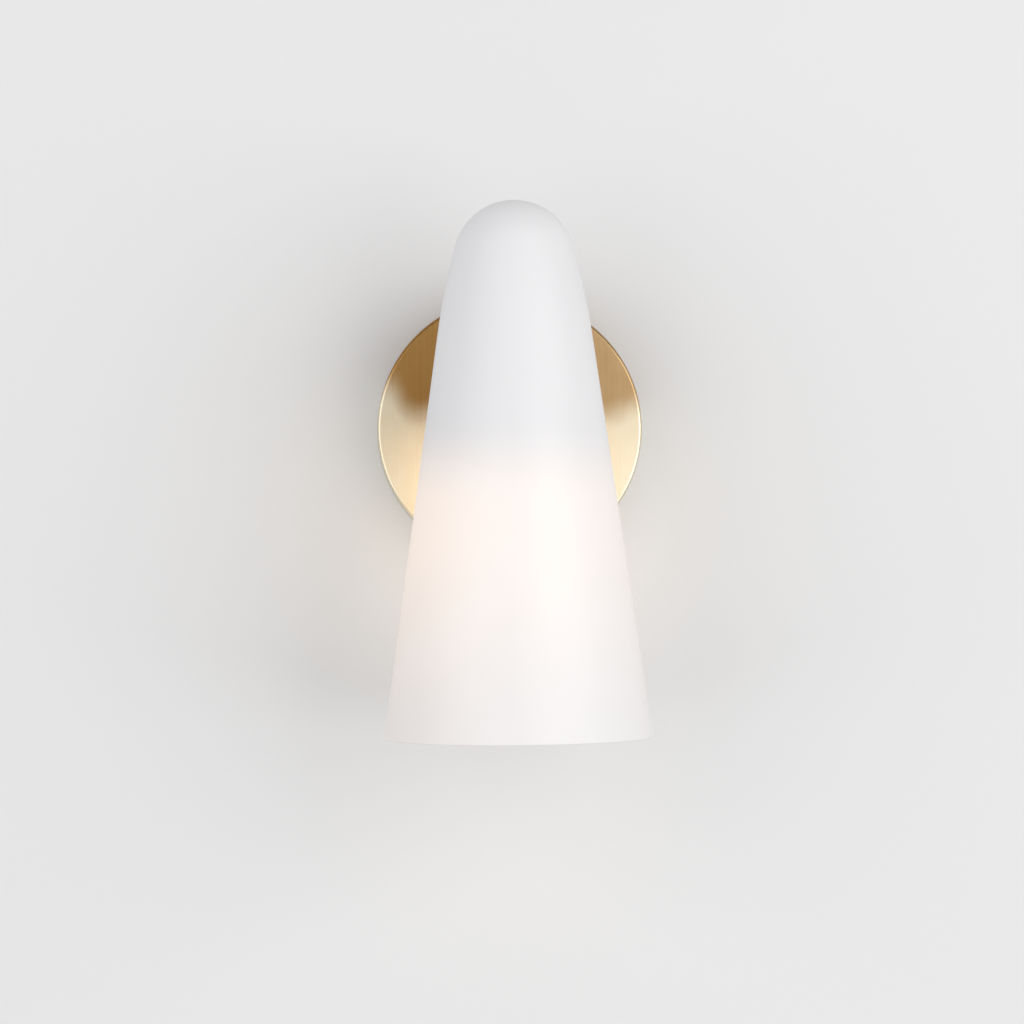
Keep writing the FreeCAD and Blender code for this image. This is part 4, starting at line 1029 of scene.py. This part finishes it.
@dataclass
class Arm:
    """What runs from the wall to the hub: turned brass, the clamp on the glass, pipe, nuts.

    Outlines are in millimetres from the wall.
    """

    placing: Placing
    glass: GlassShade
    bore: float = 5.1
    nut_high: float = 4.0
    nut_rad: float = 11.0
    nut_notches: int = 20
    notch_rad: float = 0.7
    press: float = 0.1
    gasket_ease: float = 0.35
    pipe_core: float = 4.45
    pipe_crest: float = 4.9
    pipe_pitch: float = 1.0
    pipe_thread: Pair = (12.0, 84.3)

    def build(self, finishes: Finishes) -> None:
        """Build and dress every piece on the arm's axis."""
        place = self.placing.arm
        brass, zinc, rubber = finishes.arm, finishes.zinc, finishes.rubber
        bore = self.bore
        heel = arc((12.8, 47.17), 1.2, -90, 0, 6)
        for node, material, ease, outline in (
                ("arm_collar", brass, 0.45, [(bore, 22), (17, 22), (17, 23.6), (13, 25.3),
                                             (9.05, 27), (bore, 27)]),
                ("arm_sleeve", brass, 0.15, [(5.2, 27), (6.35, 27), (6.35, 36), (6.35, 45.97),
                                             (5.2, 45.97)]),
                ("shade_cup", brass, 0.2, [(bore, 45.97), *heel, (14, 50.37), (12.8, 50.37),
                                           (12.8, 47.97), (bore, 47.97)]),
                ("clamp_washer", zinc, 0.25, [(bore, 61.4), (12, 61.4), (12, 62.9),
                                              (bore, 62.9)]),
                ("plate_washer", zinc, 0.2, [(bore, 19.8), (9, 19.8), (9, 20.8),
                                             (bore, 20.8)])):
            seat_round(node, material, lathe(outline, ease), place)
        for node, low in (("plate_nut", 15.8), ("hub_nut", 76)):
            nut = hex_nut(14 * MM, 5 * MM, low * MM, (low + self.nut_high) * MM)
            seat_round(node, zinc, nut, place)
        seat_round("ring_nut", brass, swept(self.notched, 360), place, smooth=30)
        for node, radius, flat, inset in (("outer_gasket", 12.4, 47.97, 0.0),
                                          ("inner_gasket", 11.0, 61.4, self.glass.wall)):
            seat_round(node, rubber, self.gasket(radius * MM, flat * MM, inset), place)
        self.pipe(zinc)

    def notched(self, turn: float) -> list[Pair]:
        """Section of the ring nut at an angle, milled with round notches for the fingers."""
        pitch = math.tau / self.nut_notches
        lean = turn % pitch - pitch / 2
        off = self.nut_rad * math.sin(lean)
        rad = self.nut_rad - 0.02
        if abs(off) < self.notch_rad:
            rad = min(rad, self.nut_rad * math.cos(lean)
                      - math.sqrt(self.notch_rad ** 2 - off ** 2))
        return in_mm([(5.3, 62.9), (rad - 0.2, 62.9), (rad, 63.1), (rad, 68.1),
                      (rad - 0.8, 68.9), (5.4, 68.9), (5.0, 68.5), (5.0, 63.2)])

    def gasket(self, radius: float, flat: float, inset: float) -> Mesh:
        """Mould a rubber gasket: one flat face, and one face shaped to the cone of the glass.

        Args:
            radius: Outer radius.
            flat: Distance of the flat face from the wall.
            inset: Depth of the glass skin that it meets.

        Returns:
            The mesh.
        """
        bore = self.bore * MM
        level = self.glass.skin_at(0, 0, inset)
        middle = (radius + bore) / 2
        rings = [radius, radius - 1 * MM, middle + 1 * MM, middle - 1 * MM, bore]
        mesh = spun([(bore, flat), (radius, flat)] + [(rad, level) for rad in rings])
        ease_edges(mesh, self.gasket_ease * MM, 3)
        gap = math.copysign(self.press * MM, flat - level)
        half_way = (flat + level) / 2
        for vert in mesh.verts:
            if (vert.co.z > half_way) == (level > flat):
                vert.co.z += self.glass.skin_at(vert.co.x, vert.co.y, inset) - level + gap
        return mesh

    def pipe(self, material: Material) -> None:
        """Roll the thread on the steel pipe that draws the arm together."""
        core = self.pipe_core
        low, high = self.pipe_thread
        mesh = spun(in_mm([(3.8, 11.8), (4.1, 11.8), (core, 12.15), (core, 84.15), (4.1, 84.5),
                           (3.8, 84.5), (3.5, 84.2), (3.5, 12.1)]), 48)
        pipe = finish_mesh("pipe_threaded", mesh, self.placing.arm)
        ridge = thread(core * MM, self.pipe_crest * MM, self.pipe_pitch * MM, low * MM,
                       high * MM)
        seat(joined([pipe, finish_mesh("ridge", ridge, self.placing.arm, 70)]), material,
             "threaded_pipe")


@dataclass
class Hub:
    """Turned hub with its screwed cap, and the enamelled shield that hides the lamp."""

    placing: Placing
    steps: int = 128
    entry_rad: float = 5.0 * MM
    entry_drill: Pair = (78 * MM, 88 * MM)
    tapped_rad: float = 1.55 * MM
    clear_rad: float = 1.6 * MM
    drill: Pair = (-20 * MM, -5 * MM)

    def build(self, finishes: Finishes) -> None:
        """Build and dress the hub, its cap and the shield."""
        entry = (cylinder(self.entry_rad, *self.entry_drill), self.placing.arm)
        crown = to_axis(arc((0, -17.3), 34.8, 64.5, 90, 12))
        bend = arc((34.98, -13.5), 1.0, 90, 0, 6)
        for node, material, ease, outline, holes in (
                ("hub", finishes.hub, 0.15,
                 [(6, -12.5), (14.2, -12.5), (15, -11.7), (15, 0), (15, 12.5), (12, 12.5),
                  (12, -9.5), (6, -9.5)],
                 [entry, *self.placing.holder_drills(self.tapped_rad, *self.drill)]),
                ("hub_cap", finishes.hub, 0.2,
                 [(0, 9.5), (11.8, 9.5), (11.8, 12.5), (15, 12.5), *crown], []),
                ("lamp_shield", finishes.enamel, 0.12,
                 [(6, -12.5), (20, -12.5), *bend, (35.98, -16.7), (34.8, -16.7),
                  (34.8, -13.7), (20, -13.7), (6, -13.7)],
                 self.placing.holder_drills(self.clear_rad, *self.drill))):
            seat_round(node, material, lathe(outline, ease, self.steps), self.placing.shade,
                       holes=holes)


@dataclass
class Lamp:
    """Ceramic lampholder with its screws, and the two-pin capsule lamp that pulls out."""

    placing: Placing
    pin_x: float = 4.5 * MM
    pin_half: float = 0.4 * MM
    pin_rad: float = 1.3 * MM
    pin_span: Pair = (-28 * MM, -20.3 * MM)
    slit_z: float = -23.5 * MM
    slit_half: float = 3 * MM
    slit_rad: float = 0.45 * MM
    socket: Pair = (0.55 * MM, 1.5 * MM)
    socket_span: Pair = (-30 * MM, -18.6 * MM)
    sink: Triple = (2.75 * MM, -30 * MM, -22.9 * MM)
    clear: Triple = (1.6 * MM, -30 * MM, -10 * MM)

    def build(self, finishes: Finishes) -> None:
        """Build and dress the lampholder and the lamp."""
        self.holder(finishes)
        outer, inner = [to_axis(arc((0, -52.5), radius, 0, -90, 18)) for radius in (8.2, 7.3)]
        for node, material, ease, outline in (
                ("lamp_base", finishes.steatite, 0.4,
                 [(0, -28), (7.6, -28), (7.6, -34.5), (6.1, -34.5), (6.1, -36), (0, -36)]),
                ("lamp_glass", finishes.frosted, 0.2,
                 [(8.2, -34.7), (8.2, -44), *outer, *inner[::-1], (7.3, -44), (7.3, -34.7)]),
                ("lamp_emitter", finishes.frosted, 0.3,
                 [(0, -36), (3.2, -36), (3.2, -43), (2.8, -43.4), (2.8, -43.8), (3.2, -44.2),
                  (3.2, -51), (0, -51)])):
            seat_round(node, material, lathe(outline, ease), self.placing.shade, body="lamp",
                       making=Making.PRESSED)
        seat(joined([self.pin(side) for side in SIDES]), finishes.pin, "lamp_pins", "lamp")

    def holder(self, finishes: Finishes) -> None:
        """Press the ceramic lampholder with its sinks and sockets, and screw it up."""
        drills = zip(self.placing.holder_drills(*self.sink),
                     self.placing.holder_drills(*self.clear), SIDES)
        half_x, half_y = self.socket
        low, high = self.socket_span
        tools = []
        for sink, hole, side in drills:
            middle = side * self.pin_x
            tools += [sink, hole, (block((middle - half_x, -half_y, low),
                                         (middle + half_x, half_y, high)),
                                   self.placing.shade)]
        foot = arc((9.5, -26.7), 1.0, -90, 0, 6)
        outline = [(0, -27.7), *foot, (10.5, -20), (10.5, -13.7), (0, -13.7)]
        seat_round("lampholder", finishes.steatite, lathe(outline, 0.15), self.placing.shade,
                   holes=tools, making=Making.PRESSED)
        screw = Screw(1.5 * MM, 13.6 * MM, 2.6 * MM, 2.1 * MM, 0.7 * MM, 0.6 * MM)
        places = [side * self.placing.holder_screw_reach - self.placing.reach for side in SIDES]
        seat(joined([screw.build("holder_screw", aimed((0, place, -9.5 * MM), (0, 0, -1)))
                     for place in places]), finishes.zinc, "lampholder_screws")

    def pin(self, side: int) -> Piece:
        """Looped flat pin, bent from wire: a round-ended blade with a slit."""
        half = self.pin_half
        low, high = self.pin_span
        lie = side_on(side * self.pin_x, -self.placing.reach)
        tip = arc((0.0, high), self.pin_rad, 0, 180, 12)
        mesh = prism([(self.pin_rad, low), *tip, (-self.pin_rad, low)], -half, half)
        pin = finish_mesh("pin", ease_edges(mesh, 0.15 * MM), lie)
        slit = prism(stadium((0, self.slit_z), self.slit_half, self.slit_rad), -2 * half,
                     2 * half)
        cut_away(pin, [(slit, lie)])
        return pin


@dataclass
class WallSide:
    """Zinc-plated strap with its earth screw, terminal block and plate screws."""

    placing: Placing
    half_wide: float = 10 * MM
    thick: float = 2 * MM
    tab: float = 14 * MM
    bend: float = 1 * MM
    slot_z: float = 39.69 * MM
    slot_half: float = 4.76 * MM
    slot_rad: float = 2.3 * MM
    lead_hole: float = 8 * MM
    tab_hole: float = 1.95 * MM
    tab_drill: Pair = (50 * MM, 70 * MM)
    block_hole: float = 1.15 * MM
    through: Pair = (-5 * MM, 5 * MM)
    earth_z: float = -24 * MM
    block_z: float = 20.5 * MM
    block_low: Triple = (-9.5 * MM, -14 * MM, 14 * MM)
    block_high: Triple = (9.5 * MM, -2 * MM, 27 * MM)
    waist_half: float = 1.5 * MM
    waist_z: Pair = (12 * MM, 25 * MM)
    waist_high: float = 4 * MM
    well_x: float = 5 * MM
    well: Triple = (1.9 * MM, 5.8 * MM, 16 * MM)
    lead_way: Triple = (1.2 * MM, 10 * MM, 30 * MM)
    fixing_sink: Triple = (2.3 * MM, 8.2 * MM, 16 * MM)
    fixing_way: Triple = (1.3 * MM, 0.0, 9 * MM)
    plate_rad: float = 63.5 * MM

    def build(self, finishes: Finishes) -> None:
        """Build and dress everything that is fixed to the wall."""
        self.bracket(finishes)
        self.terminals(finishes)
        earth = Screw(2 * MM, 2 * MM, 3.8 * MM, 2.4 * MM, 1 * MM)
        seat(earth.build("earth_screw_brass", aimed((0, 0, self.earth_z))), finishes.screw,
             "earth_screw")
        fixing = Screw(1.2 * MM, 8.2 * MM, 2 * MM, 1.4 * MM, 0.5 * MM, 0.5 * MM)
        seat(fixing.build("block_screw_steel", aimed((0, 0, self.block_z))), finishes.zinc,
             "block_screw")
        grub = Screw(1.6 * MM, 4.5 * MM, slot=0.6 * MM, pitch=0.5 * MM)
        seat(joined([grub.build("grub_screw", aimed((side * self.well_x, -6 * MM, self.block_z)))
                     for side in SIDES]), finishes.zinc, "terminal_screws")
        tail = min(abs(vert.co.z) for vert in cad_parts["backplate_screws"].data.vertices)
        plate = Screw(2 * MM, self.plate_rad - tail, 3.6 * MM, 2.2 * MM, 0.9 * MM)
        seat(joined([plate.build("plate_screw", self.placing.edge_screw(way, tail))
                     for way in SIDES]), finishes.screw, "backplate_screws")

    def bracket(self, finishes: Finishes) -> None:
        """Punch the strap, bend its two tabs forward and drill them."""
        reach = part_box("wall_bracket")[1][2]
        outside = self.thick + self.bend
        corner = (-outside, reach - outside)
        half = [*arc(corner, outside, 0, 90, 8), (-self.tab, reach),
                (-self.tab, reach - self.thick), *arc(corner, self.bend, 90, 0, 6)]
        outline = half + [(out, -up) for out, up in half[::-1]]
        mesh = ease_edges(prism(outline, -self.half_wide, self.half_wide), 0.3 * MM)
        strap = finish_mesh("strap", mesh, side_on())
        tools = [(cylinder(self.lead_hole, *self.through, 72), aimed((0, 0, 0)))]
        for way in SIDES:
            slot = stadium((0, way * self.slot_z), self.slot_half, self.slot_rad)
            tools += [(prism(slot, *self.through), aimed((0, 0, 0))),
                      (cylinder(self.tab_hole, *self.tab_drill), self.placing.edge_screw(way))]
        tools += [(cylinder(self.tab_hole, *self.through), aimed((0, 0, self.earth_z))),
                  (cylinder(self.block_hole, *self.through), aimed((0, 0, self.block_z)))]
        cut_away(strap, tools)
        seat(strap, finishes.zinc, "wall_bracket")

    def terminals(self, finishes: Finishes) -> None:
        """Mould the terminal block: waisted, with screw wells and holes for the leads."""
        mesh = ease_edges(block(self.block_low, self.block_high), 0.5 * MM, 3)
        body = finish_mesh("terminal_body", mesh)
        front, back = self.block_low[1] - 1 * MM, self.block_high[1] + 1 * MM
        tools = [(block((-self.waist_half, front, low),
                        (self.waist_half, back, low + self.waist_high)),
                  Matrix.Identity(4)) for low in self.waist_z]
        for side in SIDES:
            across = side * self.well_x
            tools += [(cylinder(*self.well), aimed((across, 0, self.block_z))),
                      (cylinder(*self.lead_way),
                       Matrix.Translation((across, self.placing.edge_screw_y, 0)))]
        middle = aimed((0, 0, self.block_z))
        tools += [(cylinder(*self.fixing_sink), middle), (cylinder(*self.fixing_way), middle)]
        cut_away(body, tools)
        seat(body, finishes.nylon, "terminal_block")


# ---------------------------------------------------------------- studio

@dataclass(frozen=True)
class SoftLamp:
    """Square soft lamp of the studio that faces the light's middle."""

    name: str
    place: Triple
    watts: float
    colour: str
    size: float = 2.4
    aim: Triple = (0, -0.05, -0.03)

    def build(self) -> None:
        """Add the lamp to the scene."""
        data = bpy.data.lights.new(self.name, "AREA")
        data.size = self.size
        data.energy = self.watts
        data.color = linear(self.colour)[:3]
        lamp = add_object(self.name, data)
        lamp.location = self.place
        towards = Vector(self.aim) - Vector(self.place)
        lamp.rotation_euler = towards.to_track_quat("-Z", "Y").to_euler()


@dataclass(frozen=True)
class Studio:
    """Plain wall and floor, soft lamps, and the camera at the photograph's angle."""

    camera_place: Triple = (-69.3 * MM, -1.902, -39.8 * MM)
    lens_mm: float = 137.9
    sensor_mm: float = 36.0
    yaw: float = 2.13
    roll: float = 0.55
    wall_gap: float = 0.3 * MM
    wall_paint: str = "ebeae8"
    floor_paint: str = "fafaf8"
    floor_place: Triple = (0, -1.5, -1.6)
    sheet_half: float = 3.0
    paint_grain: float = 4 * MM
    paint_relief: Pair = (0.05, 0.2 * MM)
    far_ray: float = 28 * MM
    room_paint: str = "f4f5f8"
    room_light: float = 0.622
    mirrored_room: float = 0.42
    seen_room: str = "e6e5e3"
    lamps: tuple[SoftLamp, ...] = (SoftLamp("key", (1.7, -1.9, 0.1), 31.0, "fcfdff"),
                                   SoftLamp("fill", (-1.8, -1.8, 0.1), 18.0, "fafcff"))

    def backdrop(self, name: str, paint: str) -> Material:
        """Pale paint, seen from its front and in distant reflections, clear to other rays.

        Args:
            name: Name of the material.
            paint: Its hex colour.

        Returns:
            The material.
        """
        nodes = Nodes(bpy.data.materials.new(name))
        grain = nodes.pattern((self.paint_grain,) * 3, 3.0)
        skin = nodes.add("BsdfDiffuse", inputs={
            "Color": linear(paint), "Normal": nodes.relief(grain, *self.paint_relief)})
        clear = nodes.add("BsdfTransparent")
        ray = nodes.add("LightPath").outputs
        side = nodes.add("NewGeometry").outputs["Backfacing"]
        far = nodes.maths("GREATER_THAN", ray["Ray Length"], self.far_ray)
        seen = nodes.maths("MULTIPLY_ADD", ray["Is Glossy Ray"], far, ray["Is Camera Ray"])
        share = nodes.product(seen, nodes.maths("SUBTRACT", 1.0, side))
        mix = nodes.add("MixShader", inputs={
            0: share, 1: clear.outputs[0], 2: skin.outputs[0]})
        nodes.add("OutputMaterial", inputs={"Surface": mix.outputs[0]})
        return nodes.owner

    def sheet(self, name: str, place: Matrix, paint: str) -> None:
        """Add one flat stage sheet."""
        mesh = bmesh.new()
        bmesh.ops.create_grid(mesh, x_segments=1, y_segments=1, size=self.sheet_half)
        sheet = finish_mesh(name, mesh, place)
        dress(sheet, self.backdrop(f"{name}_paint", paint))

    def world(self) -> None:
        """Even light from all round, dimmer where metal mirrors it, pale where it is seen."""
        nodes = Nodes(bpy.data.worlds.new("studio"))
        ray = nodes.add("LightPath").outputs
        even, mirrored, pale = [nodes.add("Background", inputs={
            "Color": linear(paint), "Strength": strength}).outputs[0] for paint, strength in (
                (self.room_paint, self.room_light), (self.room_paint, self.mirrored_room),
                (self.seen_room, 1.0))]
        unseen = nodes.add("MixShader", inputs={0: ray["Is Glossy Ray"], 1: even, 2: mirrored})
        mix = nodes.add("MixShader", inputs={
            0: ray["Is Camera Ray"], 1: unseen.outputs[0], 2: pale})
        nodes.add("OutputWorld", inputs={"Surface": mix.outputs[0]})
        bpy.context.scene.world = nodes.owner

    def camera(self) -> None:
        """Camera square to the wall, turned a little to the right."""
        data = bpy.data.cameras.new("camera")
        data.lens = self.lens_mm
        data.sensor_width = self.sensor_mm
        camera = add_object("camera", data)
        turn, roll = [Matrix.Rotation(-math.radians(angle), 4, "Z")
                      for angle in (self.yaw, self.roll)]
        level = Matrix.Rotation(math.radians(90), 4, "X")
        camera.matrix_world = Matrix.Translation(self.camera_place) @ turn @ level @ roll
        bpy.context.scene.camera = camera

    def build(self) -> None:
        """Set the stage, the lamps and the camera."""
        upright = Matrix.Translation((0, self.wall_gap, 0)) @ Matrix.Rotation(
            math.radians(90), 4, "X")
        self.sheet("wall", upright, self.wall_paint)
        self.sheet("floor", Matrix.Translation(self.floor_place), self.floor_paint)
        self.world()
        for lamp in self.lamps:
            lamp.build()
        self.camera()
        bpy.context.scene.view_settings.view_transform = "Standard"


def main() -> None:
    """Build the light piece by piece, dress what stays, and set the stage."""
    low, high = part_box("hub")
    placing = Placing(reach=-(low[1] + high[1]) / 2)
    glass = GlassShade(placing)
    finishes = Finishes(glass)
    for group in (glass, WallPlate(placing), Arm(placing, glass), Hub(placing), Lamp(placing),
                  WallSide(placing)):
        group.build(finishes)
    dress(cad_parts["live_lead"], finishes.brown)
    dress(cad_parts["neutral_lead"], finishes.blue)
    Studio().build()


if __name__ == "__main__":
    main()
